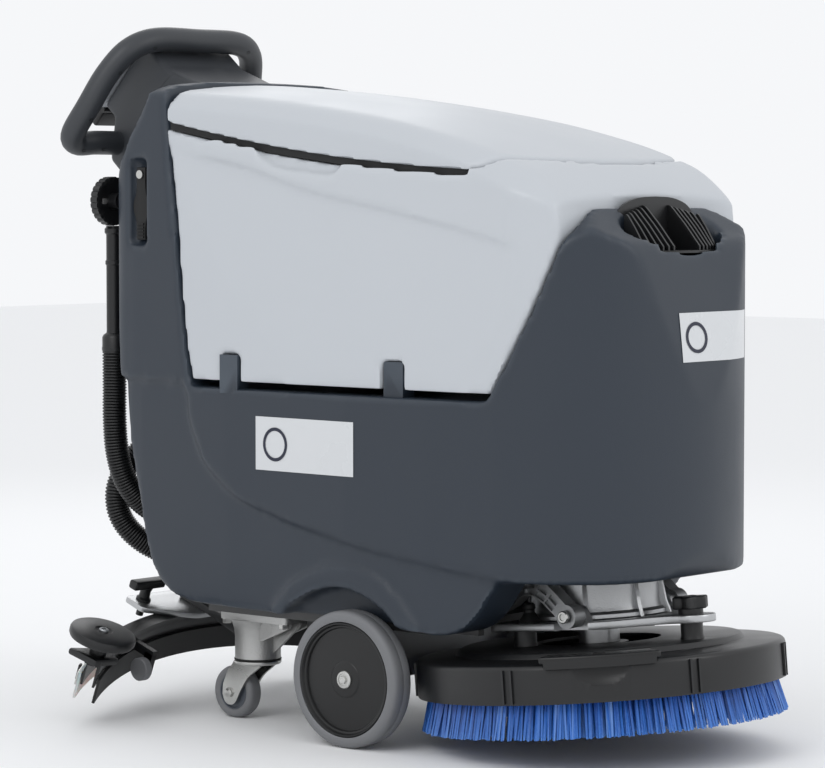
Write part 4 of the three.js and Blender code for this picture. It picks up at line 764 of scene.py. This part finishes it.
rough_casting = moulded("rough_casting", (0.66, 0.66, 0.655), 0.42, grain=300, relief=0.55, patch=0.35, metal=0.95, wear=0.5)
for side, label in ((-1, "right"), (1, "left")):
    y = side * 143
    barrel = loose(turned([(0, 96), (35, 96), (35, 128), (36, 140), (39, 150), (43, 156), (0, 156)], 56))
    plate = slab([(-46, -38), (92, -38), (92, 38), (-46, 38)], "Z", 155.8, 165.9)
    bmesh.ops.bevel(plate, geom=[e for e in plate.edges if abs(e.verts[0].co.z - e.verts[1].co.z) > 1], affect="EDGES",
                    offset=9, segments=4, profile=0.5, material=-1)
    combined(barrel, plate, "UNION")
    for across in (-22, 0, 22):
        web = slab([(20, 157), (88, 157), (84, 148), (33, 104 + abs(across)), (20, 104 + abs(across))], "Y", across - 3, across + 3)
        combined(barrel, web, "UNION")
    settle(at(finished(barrel), -276, y, 0), f"caster_barrel_{label}", rough_casting, "chassis", "cast_aluminium", (f"caster_housing_{label}",))
    for n, (bx, by) in enumerate(((-36, -30), (-36, 30), (80, -30), (80, 30))):
        nut = turned([(0, 148.5), (6.5, 148.5), (7, 149.4), (7, 155.8), (0, 155.8)], 6)
        settle(at(nut, -276 + bx, y + by, 0), f"caster_nut_{label}_{n}", bright_zinc, "chassis", "steel")
    ring = turned([(26, 93.2), (34.6, 93.2), (36.2, 94.1), (36.2, 95.3), (34.6, 95.8), (26, 95.8)], 56)
    settle(at(ring, -276, y, 0), f"caster_dust_ring_{label}", black_rubber, f"caster_{label}", "rubber")
    fork = loose(turned([(0, 86.5), (33, 86.5), (35, 87.5), (36, 89.5), (36, 92), (34, 93), (0, 93)], 56))
    cheek = curved([(-57, 36), (-52, 25), (-42, 21), (-31, 25), (-20, 44), (-4, 66), (20, 84), (22, 91)], 4) + [(-30, 91), (-46, 74), (-56, 52)]
    for out in (-1, 1):
        wing = slab(cheek, "Y", *sorted((out * 14.5, out * 18.5)))
        combined(fork, wing, "UNION")
    back = slab([(-33, 91), (-29, 91), (-40, 74), (-44, 76)], "Y", -17, 17)
    combined(fork, back, "UNION")
    settle(at(finished(fork), -276, y, 0), f"caster_yoke_{label}", bright_zinc, f"caster_{label}", "steel", (f"caster_fork_{label}",))
    tread = [(27, -11), (29, -12.6), (35, -12.8), (38.4, -10.4), (40, -6.5), (40, 6.5), (38.4, 10.4), (35, 12.8), (29, 12.6), (27, 11)]
    settle(at(lying(turned(tread, 64), "Y"), -318, y, 40), f"caster_tread_{label}", tyre_rubber, f"caster_wheel_{label}", "tyre_grey",
           (f"caster_tyre_{label}",), sharp=50)
    disc = [(0, -18.5), (4.8, -18.5), (4.8, -13.2), (9, -13), (10, -10.4), (24, -9.6), (25, -11.4), (26.7, -11.4), (26.7, 11.4), (25, 11.4),
            (24, 9.6), (10, 10.4), (9, 13), (4.8, 13.2), (4.8, 18.5), (0, 18.5)]
    settle(at(lying(turned(disc, 48), "Y"), -318, y, 40), f"caster_disc_{label}", soft_key, f"caster_wheel_{label}", "tyre_grey",
           (f"caster_hub_{label}",))
    for out in (-1, 1):
        cap = turned([(0, 0), (8, 0), (8, 1.4), (7, 3.8), (4, 4.6), (0, 4.6)], 6)
        cap = lying(cap, "Y")
        if out < 0:
            cap.transform(Matrix.Rotation(math.pi, 4, "Z"))
        settle(at(cap, -318, y + out * 18.6, 40), f"caster_bolt_{label}_{'in' if out * side < 0 else 'out'}", bright_zinc, f"caster_{label}", "steel")

# ---------------------------------------------------------------- brush deck
# Two S-shaped ribbed arms carry a cast plate with the brush motor on it. A black moulded skirt hangs
# under the plate on a knob, with two bumper bars over thumb scoops. The deck rests nose up.

to_deck = Matrix.Translation((277.12, 0, 40.5)) @ Matrix.Rotation(math.radians(-5.16), 4, "Y")
deck_casting = moulded("deck_casting", (0.70, 0.705, 0.71), 0.34, grain=420, relief=0.3, patch=0.3, metal=0.95, wear=0.5)


def on_deck(bm, *settings, **more):
    bm.transform(to_deck)
    return settle(bm, *settings, **more)


skirt = [(255, 50), (268, 50), (268.4, 53), (268, 97), (267, 100.5), (264.5, 103.2), (261, 104.6), (214, 106.4), (210, 107.6),
         (207.4, 111), (204.4, 114.6), (200, 116), (90, 116), (90, 112), (198, 112), (201, 110.6), (206, 103), (250, 101), (254.4, 98)]
cover = loose(turned(skirt, 160))
for middle in (-53, 127):
    scoop = bmesh.new()
    bmesh.ops.create_uvsphere(scoop, u_segments=48, v_segments=24, radius=1)
    bmesh.ops.scale(scoop, vec=(26, 74, 42), verts=scoop.verts)
    bmesh.ops.translate(scoop, vec=(285, 0, 104), verts=scoop.verts)
    scoop.transform(Matrix.Rotation(math.radians(middle), 4, "Z"))
    combined(cover, scoop, "DIFFERENCE")
for angle in (-82, -24, 24, 98, 156, -140):
    for shift in (-1.4, 1.4):
        rib = slab([(264, -1.6), (271.5, -1.6), (271.5, 1.6), (264, 1.6)], "Z", 52, 99)
        rib.transform(Matrix.Rotation(math.radians(angle + shift), 4, "Z"))
        combined(cover, rib, "UNION")
for x, y in ((166, 0), (-60, 96), (-60, -96)):
    combined(cover, at(turned([(0, 113), (18, 113), (16, 122), (16, 139.7), (0, 139.7)], 32), x, y, 0), "UNION")
combined(cover, at(turned([(0, 111), (7.4, 111), (7.4, 147), (0, 147)], 24), 166, 0, 0), "DIFFERENCE")
on_deck(finished(cover), "deck_skirt", black_plastic, "deck", "black_plastic", ("deck_cover",), sharp=32)
for middle, label in ((-53, "right"), (127, "left")):
    start, stop = middle - 18, middle + 18
    outer, inner = arc((0, 0), (275.5, 275.5), start, stop, 28), arc((0, 0), (229, 229), stop, start, 28)
    bar = slab(outer + inner, "Z", 106.9, 116)
    bmesh.ops.bevel(bar, geom=[e for e in bar.edges if e.calc_face_angle(0) > 0.8], affect="EDGES", offset=2.6, segments=3, profile=0.5, material=-1)
    bar = loose(bar)
    edge, back = arc((0, 0), (276, 276), start + 1.5, stop - 1.5, 28), arc((0, 0), (270, 270), stop - 1.5, start + 1.5, 28)
    lip = slab(edge + back, "Z", 99, 112)
    combined(bar, lip, "UNION")
    pip = turned([(0, 114), (9, 114), (9, 117.4), (7.6, 118.6), (6, 118.2), (0, 118.2)], 28)
    spot = math.radians(middle)
    combined(bar, at(pip, 248 * math.cos(spot), 248 * math.sin(spot), 0), "UNION")
    on_deck(finished(bar), f"bumper_bar_{label}", hub_black, "deck", "black_plastic", (f"deck_bumper_{label}",))

plate_half = [(-98, 0), (-98, 128), (20, 130), *curved([(52, 127), (92, 107), (130, 60), (150, 40), (170, 32)], 5), *arc((170, 0), (32, 32), 84, 0, 10)]
plate = slab(plate_half + [(x, -y) for x, y in reversed(plate_half[1:-1])], "Z", 140, 151)
bmesh.ops.remove_doubles(plate, verts=plate.verts, dist=0.05)
bmesh.ops.bevel(plate, geom=[e for e in plate.edges if e.calc_face_angle(0) > 1.2], affect="EDGES", offset=1.6, segments=2, profile=0.5, material=-1)
plate = loose(plate)
boss = to_deck.inverted() @ Vector((310.12, 0, 205))
for side in (-1, 1):
    gap_y = sorted((side * 112.6, side * 145))
    combined(plate, slab([(boss.x - 28, gap_y[0]), (boss.x + 24, gap_y[0]), (boss.x + 24, gap_y[1]), (boss.x - 28, gap_y[1])], "Z", 135, 156), "DIFFERENCE")
    lug = slab([(boss.x - 24, 142), (boss.x + 24, 142), *arc((boss.x, boss.z), (13.5, 13.5), 10, 170, 10)], "Y", *sorted((side * 98.5, side * 112.4)))
    combined(plate, lug, "UNION")
    combined(plate, at(lying(turned([(0, -150), (6.4, -150), (6.4, 150), (0, 150)], 28), "Y"), boss.x, 0, boss.z), "DIFFERENCE")
combined(plate, at(turned([(0, 130), (8, 130), (8, 160), (0, 160)], 28), 166, 0, 0), "DIFFERENCE")
combined(plate, turned([(0, 130), (34, 130), (34, 160), (0, 160)], 40), "DIFFERENCE")
on_deck(finished(plate), "deck_carrier", deck_casting, "deck", "cast_aluminium", ("deck_plate",))

drum = loose(turned([(0, 112.3), (30, 112.3), (30, 151.3), (100, 151.3), (106, 153), (106, 158), (99, 162), (97, 170), (97, 214), (100, 218),
                     (100, 226), (90, 232), (88, 259), (0, 259)], 96))
for angle in (18, 62, 118, 162, 198, 242, 298, 342):
    web = slab([(90, 151.6), (112, 151.6), (106, 170), (101, 205), (97, 216), (90, 216)], "Y", -3, 3)
    web.transform(Matrix.Rotation(math.radians(angle), 4, "Z"))
    combined(drum, web, "UNION")
on_deck(finished(drum), "motor_casting", deck_casting, "deck", "cast_aluminium", ("motor_housing",))

rubber_stop = turned([(0, 151.3), (17, 151.3), (15.5, 154), (9.5, 164), (8, 166), (8, 170), (9.6, 172), (9.2, 177), (6, 180), (0, 180.6)], 32)
on_deck(at(rubber_stop, -34, -116, 0), "stop_dome", black_rubber, "deck", "rubber", ("deck_stop",))
lobes = [(166 + (24 + 3.2 * math.cos(6 * a)) * math.cos(a), (24 + 3.2 * math.cos(6 * a)) * math.sin(a)) for a in [2 * math.pi * i / 96 for i in range(96)]]
knob = slab(lobes, "Z", 159, 176.5)
bmesh.ops.bevel(knob, geom=[e for e in knob.edges if e.calc_face_angle(0) > 1], affect="EDGES", offset=2.4, segments=3, profile=0.5, material=-1)
knob = loose(knob)
combined(knob, at(turned([(0, 113), (6.8, 113), (6.8, 151), (18, 151.4), (18, 160), (0, 160)], 36), 166, 0, 0), "UNION")
combined(knob, at(turned([(0, 171), (9, 171), (11, 178), (0, 178)], 36), 166, 0, 0), "DIFFERENCE")
on_deck(finished(knob), "deck_hand_knob", black_plastic, "knob", "black_plastic", ("deck_knob",))

arm_top = [(130, 210), (160, 217), (186, 226), (206, 243), (224, 253), (246, 256), (270, 251), (292, 236), (312, 220)]
arm_low = [(304, 192), (286, 208), (264, 224), (246, 230), (230, 228), (214, 214), (188, 200), (160, 190), (140, 184)]
for side, label in ((-1, "right"), (1, "left")):
    span = sorted((side * 113, side * 137))
    arm = loose(slab(curved(arm_top, 5) + curved(arm_low, 5), "Y", *span))
    for x, z, r in ((140, 196, 15), (310.12, 205, 17)):
        combined(arm, at(lying(turned([(0, span[0]), (r, span[0]), (r, span[1]), (0, span[1])], 40), "Y"), x, 0, z), "UNION")
    centre = [(172, 205), (192, 212), (212, 228), (234, 241), (256, 240), (276, 230), (292, 216)]
    for n, (x, z) in enumerate(centre):
        if n == len(centre) - 1:
            continue
        nx, nz = centre[n + 1]
        along = Vector((nx - x, nz - z)).normalized()
        over = Vector((-along.y, along.x))
        middle = Vector(((x + nx) / 2, (z + nz) / 2))
        for lift in (-5.2, 5.2):
            corners = [middle + along * a * ((nx - x) ** 2 + (nz - z) ** 2) ** 0.5 * 0.40 + over * (lift + b * 3.7) for a, b in ((-1, -1), (1, -1), (1, 1), (-1, 1))]
            pocket = slab([(c.x, c.y) for c in corners], "Y", *sorted((side * 132, side * 140)))
            combined(arm, pocket, "DIFFERENCE")
    combined(arm, at(lying(turned([(0, span[0] - 5), (9.3, span[0] - 5), (9.3, span[1] + 5), (0, span[1] + 5)], 28), "Y"), 140, 0, 196), "DIFFERENCE")
    pin_ends = sorted((side * 99, side * 141))
    combined(arm, at(lying(turned([(0, pin_ends[0]), (6, pin_ends[0]), (6, pin_ends[1]), (0, pin_ends[1])], 28), "Y"), 310.12, 0, 205), "UNION")
    arm = finished(arm)
    settle(arm, f"lift_arm_{label}", gear_casting, "deck_arms", "cast_aluminium", (f"deck_arm_{label}",), sharp=30)
    head = lying(turned([(0, 0), (9, 0), (9, 3.4), (7.6, 4.6), (5, 4.6), (4.6, 3), (0, 3)], 28), "Y")
    if side < 0:
        head.transform(Matrix.Rotation(math.pi, 4, "Z"))
    settle(at(head, 310.12, side * 141, 205), f"arm_pin_{label}", bright_zinc, "deck_arms", "steel")

# ---------------------------------------------------------------- brush
# A black disc holds rings of tufts, each a bundle of blue filaments that flares outward. Painted
# highlight pales the tufts' tips and their palest filaments; no two filaments are quite the same blue.

on_deck(turned([(0, 62), (60, 62), (60, 56.5), (250, 56.5), (252, 58), (252, 72), (250, 74), (60, 78), (42, 84), (42, 111.6), (0, 111.6)], 96),
        "brush_block", hub_black, "brush", "black_plastic", ("brush_disc",))
chance = random.Random(7)
tufts = bmesh.new()
tone = tufts.verts.layers.float_color.new("tone")
for radius, count, sticks in ((246, 112, 9), (229, 96, 6), (211, 84, 4), (193, 72, 4), (175, 60, 4)):
    for n in range(count):
        angle = 2 * math.pi * (n + chance.uniform(-0.12, 0.12)) / count
        flare = 0.27 * (radius - 150) / 100 + chance.uniform(-0.03, 0.03)
        brightness = chance.random()
        for stick in range(sticks):
            here = angle + chance.uniform(-0.9, 0.9) * 5.4 / radius
            r_top, r_low = radius + chance.uniform(-4, 4), 0
            r_low = min(264.6, r_top + 56 * flare + chance.uniform(-3, 3))
            low = chance.uniform(0.0, 2.2)
            spread = here + chance.uniform(-0.011, 0.011)
            made = bmesh.ops.create_cone(tufts, cap_ends=True, segments=4, radius1=1.5, radius2=1.9, depth=1)["verts"]
            shade = min(1.0, max(0.0, 0.42 * brightness + chance.uniform(-0.18, 0.30)))
            for vert in made:
                end = vert.co.z < 0
                r, a, z = (r_low, spread, low) if end else (r_top, here, 56.3)
                wide = vert.co.x * math.cos(a) - vert.co.y * math.sin(a), vert.co.x * math.sin(a) + vert.co.y * math.cos(a)
                vert.co = (r * math.cos(a) + wide[0] * (0.9 if end else 1), r * math.sin(a) + wide[1], z)
                # Red holds the filament's random tone; green marks its floor end, which takes the painted tip
                # highlight.
                vert[tone] = (shade, 1.0 if end else 0.0, 0, 1)
bristle_blue = bpy.data.materials.new("bristle_blue")
bristle_blue.use_nodes = True
nodes, links = bristle_blue.node_tree.nodes, bristle_blue.node_tree.links
shader = nodes["Principled BSDF"]
shader.inputs["Roughness"].default_value = 0.36
filament = nodes.new("ShaderNodeAttribute")
filament.attribute_name = "tone"
split = nodes.new("ShaderNodeSeparateColor")
links.new(filament.outputs["Color"], split.inputs["Color"])
# Each filament takes a random blue along this ramp; its near-white top is painted highlight, the glints along the
# bristles.
ramp = nodes.new("ShaderNodeValToRGB")
ramp.color_ramp.elements[0].color = (0.006, 0.045, 0.27, 1)
ramp.color_ramp.elements[1].color = (0.42, 0.60, 0.86, 1)
middle = ramp.color_ramp.elements.new(0.45)
middle.color = (0.02, 0.13, 0.52, 1)
links.new(split.outputs["Red"], ramp.inputs["Fac"])
streak = nodes.new("ShaderNodeTexNoise")
streak.inputs["Scale"].default_value = 320
place = nodes.new("ShaderNodeTexCoord")
links.new(place.outputs["Object"], streak.inputs["Vector"])
# Painted highlight: the floor ends of the tufts are paled towards a lighter blue, streaked by noise, where the tips
# catch the light.
tipped = nodes.new("ShaderNodeMix")
tipped.data_type = "RGBA"
tip_highlight = nodes.new("ShaderNodeMath")
tip_highlight.operation = "MULTIPLY"
links.new(split.outputs["Green"], tip_highlight.inputs[0])
links.new(streak.outputs["Fac"], tip_highlight.inputs[1])
links.new(tip_highlight.outputs[0], tipped.inputs["Factor"])
links.new(ramp.outputs["Color"], tipped.inputs["A"])
tipped.inputs["B"].default_value = (0.10, 0.27, 0.66, 1)
links.new(tipped.outputs["Result"], shader.inputs["Base Color"])
on_deck(tufts, "brush_tufts", bristle_blue, "brush", "blue_bristle", ("bristles",), sharp=60)

# ---------------------------------------------------------------- squeegee
# A curved moulded beam clamps two rubber blades; the rear one is pale and translucent behind a notched
# steel band. Disc rollers guard its ends. Two T-knobs hold it under a cast bracket on the lifting arm.

to_squeegee = Matrix.Translation((-323, 0, 142)) @ Matrix.Rotation(math.radians(20.5), 4, "Y")


def on_squeegee(bm, *settings, **more):
    bm.transform(to_squeegee)
    return settle(bm, *settings, **more)


def bowed(inner, outer, low, high, steps=40, reach=350):
    half = math.degrees(math.asin(reach / 609))
    near = arc((421, 0), (609 + inner, 609 + inner), 180 - half, 180 + half, steps)
    far = arc((421, 0), (609 + outer, 609 + outer), 180 + half, 180 - half, steps)
    return slab(near + far, "Z", low - 142, high - 142)


def bow_x(y, offset=0):
    return 421 - math.sqrt((609 + offset) ** 2 - y * y)


beam = loose(bowed(-13, 12.5, 58, 67.5))
for inner, outer, low, high in ((-11, -7.5, 25, 59), (7.5, 11, 25, 59), (-13, -9, 48, 60), (9, 12.5, 50, 60)):
    combined(beam, bowed(inner, outer, low, high), "UNION")
for side in (-1, 1):
    y, ry = side * 110, side * 330
    ear = slab([(-236, y - 15), (bow_x(110) + 4, y - 15), (bow_x(110) + 4, y + 15), (-236, y + 15)], "Z", -94, -74.5)
    bmesh.ops.bevel(ear, geom=list(ear.edges), affect="EDGES", offset=2.5, segments=2, profile=0.5, material=-1)
    combined(beam, ear, "UNION")
    combined(beam, at(turned([(0, -80), (13, -80), (13, -50.4), (0, -50.4)], 36), bow_x(330), ry, 0), "UNION")
    tip = slab([(bow_x(330) - 30, ry - 34), (bow_x(330) + 22, ry - 24), (bow_x(330) + 26, ry + 22), (bow_x(330) - 14, ry + 26)], "Z", -82, -70)
    bmesh.ops.bevel(tip, geom=list(tip.edges), affect="EDGES", offset=4, segments=2, profile=0.5, material=-1)
    combined(beam, tip, "UNION")
    wy = side * 200
    combined(beam, slab([(bow_x(200) - 4, wy - 5), (bow_x(200) + 62, wy - 5), (bow_x(200) + 62, wy + 5), (bow_x(200) - 4, wy + 5)], "Z", -98, -84), "UNION")
    combined(beam, slab([(bow_x(200) + 46, wy - 5), (bow_x(200) + 62, wy - 5), (bow_x(200) + 62, wy + 5), (bow_x(200) + 46, wy + 5)], "Z", -124, -90), "UNION")
    combined(beam, at(turned([(0, -130), (6.5, -130), (6.5, -60), (0, -60)], 24), -222, y, 0), "DIFFERENCE")
on_squeegee(finished(beam), "squeegee_beam", black_plastic, "squeegee_head", "black_plastic", ("squeegee_body",), sharp=30)

front_rubber = loose(bowed(-17.5, -13.3, 1, 40, 60))
for n in range(-30, 31):
    a = math.radians(180 + n * 1.1)
    notch = slab([(0, -3), (9, -3), (9, 3), (0, 3)], "Z", -142, -131)
    notch.transform(Matrix.Translation((421 + 597 * math.cos(a), 597 * math.sin(a), 0)) @ Matrix.Rotation(a, 4, "Z"))
    combined(front_rubber, notch, "DIFFERENCE")
on_squeegee(finished(front_rubber), "front_blade_rubber", black_rubber, "squeegee_head", "rubber", ("front_blade",))

clear_blade = bpy.data.materials.new("clear_blade")
clear_blade.use_nodes = True
nodes, links = clear_blade.node_tree.nodes, clear_blade.node_tree.links
shader = nodes["Principled BSDF"]
shader.inputs["Transmission Weight"].default_value = 0.25
shader.inputs["Subsurface Weight"].default_value = 0.3
grain_node = nodes.new("ShaderNodeGroup")
grain_node.node_tree = moulded_grain
for label, value in (("Color", (0.62, 0.64, 0.62, 1)), ("Worn Color", (0.80, 0.82, 0.82, 1)), ("Grain Scale", 260.0), ("Patch", 0.3),
                     ("Wear", 0.5), ("Roughness", 0.34), ("Relief", 0.1)):
    grain_node.inputs[label].default_value = value
for label, socket in (("Color", "Base Color"), ("Roughness", "Roughness"), ("Normal", "Normal")):
    links.new(grain_node.outputs[label], shader.inputs[socket])
on_squeegee(bowed(12.8, 17, 0.5, 44, 64), "rear_blade_rubber", clear_blade, "squeegee_head", "clear_rubber", ("rear_blade",))
band = loose(bowed(17.3, 19.5, 22, 42, 64))
on_squeegee(finished(band), "blade_band", bright_zinc, "squeegee_head", "steel", ("blade_strap",))
for n in range(-9, 10):
    a = math.radians(180 + n * 3.6)
    clip = slab([(0, -5), (4, -5), (4, 5), (0, 5)], "Z", -122, -98)
    bmesh.ops.bevel(clip, geom=list(clip.edges), affect="EDGES", offset=0.8, segments=2, profile=0.5, material=-1)
    clip.transform(Matrix.Translation((421 + 628.7 * math.cos(a), 628.7 * math.sin(a), 0)) @ Matrix.Rotation(a, 4, "Z"))
    on_squeegee(clip, f"band_clip_{n + 9}", black_plastic, "squeegee_head", "black_plastic")

bracket_plan = [(-242, -132), (-198, -134), (-156, -50), (-156, 50), (-198, 134), (-242, 132)]
bracket = slab(bracket_plan, "Z", -74.2, -65.2)
bmesh.ops.bevel(bracket, geom=[e for e in bracket.edges if abs(e.verts[0].co.z - e.verts[1].co.z) > 1], affect="EDGES", offset=8, segments=4, profile=0.5, material=-1)
bmesh.ops.bevel(bracket, geom=[e for e in bracket.edges if e.calc_face_angle(0) > 1.2], affect="EDGES", offset=1.4, segments=2, profile=0.5, material=-1)
bracket = loose(bracket)
combined(bracket, at(turned([(0, -100), (21.5, -100), (21.5, -40), (0, -40)], 40), -188, 0, 0), "DIFFERENCE")
for side in (-1, 1):
    combined(bracket, at(turned([(0, -100), (6.5, -100), (6.5, -40), (0, -40)], 24), -222, side * 110, 0), "DIFFERENCE")
on_squeegee(finished(bracket), "head_bracket", deck_casting, "squeegee_head", "cast_aluminium", ("squeegee_plate",))

arm_side = [(-8, 10), (8, -12), (-70, -70), (-158, -64.9), (-216, -64.9), (-216, -53.2), (-152, -53.2), (-62, -48)]
lifter = slab(arm_side, "Y", -34, 34)
bmesh.ops.bevel(lifter, geom=[e for e in lifter.edges if e.calc_face_angle(0) > 0.5], affect="EDGES", offset=1.6, segments=2, profile=0.5, material=-1)
lifter = loose(lifter)
combined(lifter, lying(turned([(0, -62), (14, -62), (14, 62), (0, 62)], 40), "Y"), "UNION")
combined(lifter, lying(turned([(0, -70), (7, -70), (7, 70), (0, 70)], 28), "Y"), "DIFFERENCE")
combined(lifter, at(turned([(0, -142), (21.5, -142), (21.5, 0), (0, 0)], 40), -188, 0, 0), "DIFFERENCE")
on_squeegee(finished(lifter), "lifting_arm", frame_paint, "squeegee_lifter", "steel", ("squeegee_arm",))

port_line = flowing([Vector(p) for p in [(-188, 0, -74.2), (-188, 0, -58.5), (-190, -6, -40.5), (-195, -24, -22.5), (-202, -45, -7)]], 8)
port_length = sum((b - a).length for a, b in zip(port_line, port_line[1:]))
port = turned([(0, 0), (19, 0), (19, port_length * 0.55), (20, port_length * 0.57), (20, port_length * 0.63), (19, port_length * 0.65), (19, port_length), (0, port_length)], 32)
longways = [e for e in port.edges if abs(e.verts[0].co.z - e.verts[1].co.z) > 6]
bmesh.ops.subdivide_edges(port, edges=longways, cuts=8)
bend_along(port, port_line)
on_squeegee(port, "suction_elbow", black_plastic, "squeegee_lifter", "black_plastic", ("suction_port",), sharp=50)

for side, label in ((-1, "right"), (1, "left")):
    rim = [(0, 0), (44, 0), (49, 2.4), (51, 6), (51, 12.4), (49.4, 15.6), (46, 17.4), (14, 18.6), (12, 16.8), (0, 16.8)]
    on_squeegee(at(turned(rim, 72), bow_x(330), side * 330, -50), f"roller_disc_{label}", black_plastic, f"roller_{label}", "black_plastic", (f"bumper_roller_{label}",))
    centre = turned([(0, 16), (7.5, 16), (7.5, 19), (6, 20.6), (3.2, 20.6), (3.2, 18.4), (0, 18.4)], 28)
    on_squeegee(at(centre, bow_x(330), side * 330, -50), f"roller_screw_{label}", motor_case, f"roller_{label}", "steel")
    handle = slab([(-9, -34), (9, -34), (9, 34), (-9, 34)], "Z", 21, 35.6)
    bmesh.ops.bevel(handle, geom=list(handle.edges), affect="EDGES", offset=4, segments=4, profile=0.5, material=-1)
    handle = loose(handle)
    combined(handle, turned([(0, -26), (6, -26), (6, 0.2), (12, 0.2), (12, 3), (9, 6), (8.4, 16), (11, 24), (0, 24)], 32), "UNION")
    on_squeegee(at(finished(handle), -222, side * 110, -64.9), f"tee_knob_{label}", black_plastic, f"mount_knob_{label}", "black_plastic", (f"squeegee_knob_{label}",))
    rest = lying(turned([(0, -7), (16.5, -7), (18, -5.4), (18, 5.4), (16.5, 7), (7, 7), (6, 5.6), (0, 5.6)], 40), "Y")
    on_squeegee(at(rest, bow_x(200) + 54, side * 212.3, -116), f"rest_wheel_{label}", tyre_rubber, f"support_{label}", "tyre_grey", (f"support_wheel_{label}",))

# ---------------------------------------------------------------- label plates
# Two pale plates, one on the hull's right side and one round the nose, show where the makers put their
# marks. Each carries only a plain ring.

plate_white = moulded("plate_white", (0.80, 0.81, 0.82), 0.3, grain=60, relief=0.02, patch=0.06, coat=0.3)
plate_ink = moulded("plate_ink", (0.10, 0.12, 0.20), 0.4, grain=60, relief=0.02, patch=0.06)


def wrapped(bm, name, finish, lift, nose=False):
    """Lays a flat mesh, in mm from the axle, on the shell: from the right, or inward round the nose."""
    shell = bpy.data.objects["body_shell"]
    for vert in bm.verts:
        x, y, z = vert.co
        way = Vector((0, 1, 0))
        origin = Vector((x / 1000 + axle_x, -0.6, z / 1000))
        if nose:
            way = Vector((-math.cos(y), -math.sin(y), 0))
            origin = Vector((0.25 + axle_x, 0, z / 1000)) - way * 0.6
        hit, point, normal, _ = shell.ray_cast(origin, way)
        if hit:
            place = point - way * (lift + (0.8 if x > 900 else 0)) / 1000
            vert.co = ((place.x - axle_x) * 1000, place.y * 1000, place.z * 1000)
    return settle(bm, name, finish, "chassis", "pale_grey", sharp=60)


def sheet(low, high, steps, rows, at_point):
    """A plain grid of faces between two corners, shaped by at_point(u, v)."""
    bm = bmesh.new()
    grid = [[bm.verts.new(at_point(low[0] + (high[0] - low[0]) * i / steps, low[1] + (high[1] - low[1]) * j / rows))
             for j in range(rows + 1)] for i in range(steps + 1)]
    for i in range(steps):
        for j in range(rows):
            bm.faces.new((grid[i][j], grid[i + 1][j], grid[i + 1][j + 1], grid[i][j + 1]))
    return bm


wrapped(sheet((-181, 395), (18, 474), 40, 16, lambda u, v: (u, -300, v)), "side_plate", plate_white, 0.9)
wrapped(sheet((-0.26, 566), (0.66, 635), 40, 14, lambda u, v: (0, u, v)), "nose_plate", plate_white, 0.9, nose=True)
turn = 2 * math.pi
wrapped(sheet((0, 20), (turn, 25), 64, 1, lambda u, v: (-140 + v * math.cos(u), -300, 434 + v * math.sin(u))), "side_ring", plate_ink, 1.6)
wrapped(sheet((0, 17), (turn, 22), 64, 1, lambda u, v: (0, v * math.cos(u) / 170 - 0.08, 600 + v * math.sin(u))), "nose_ring", plate_ink, 1.6, nose=True)
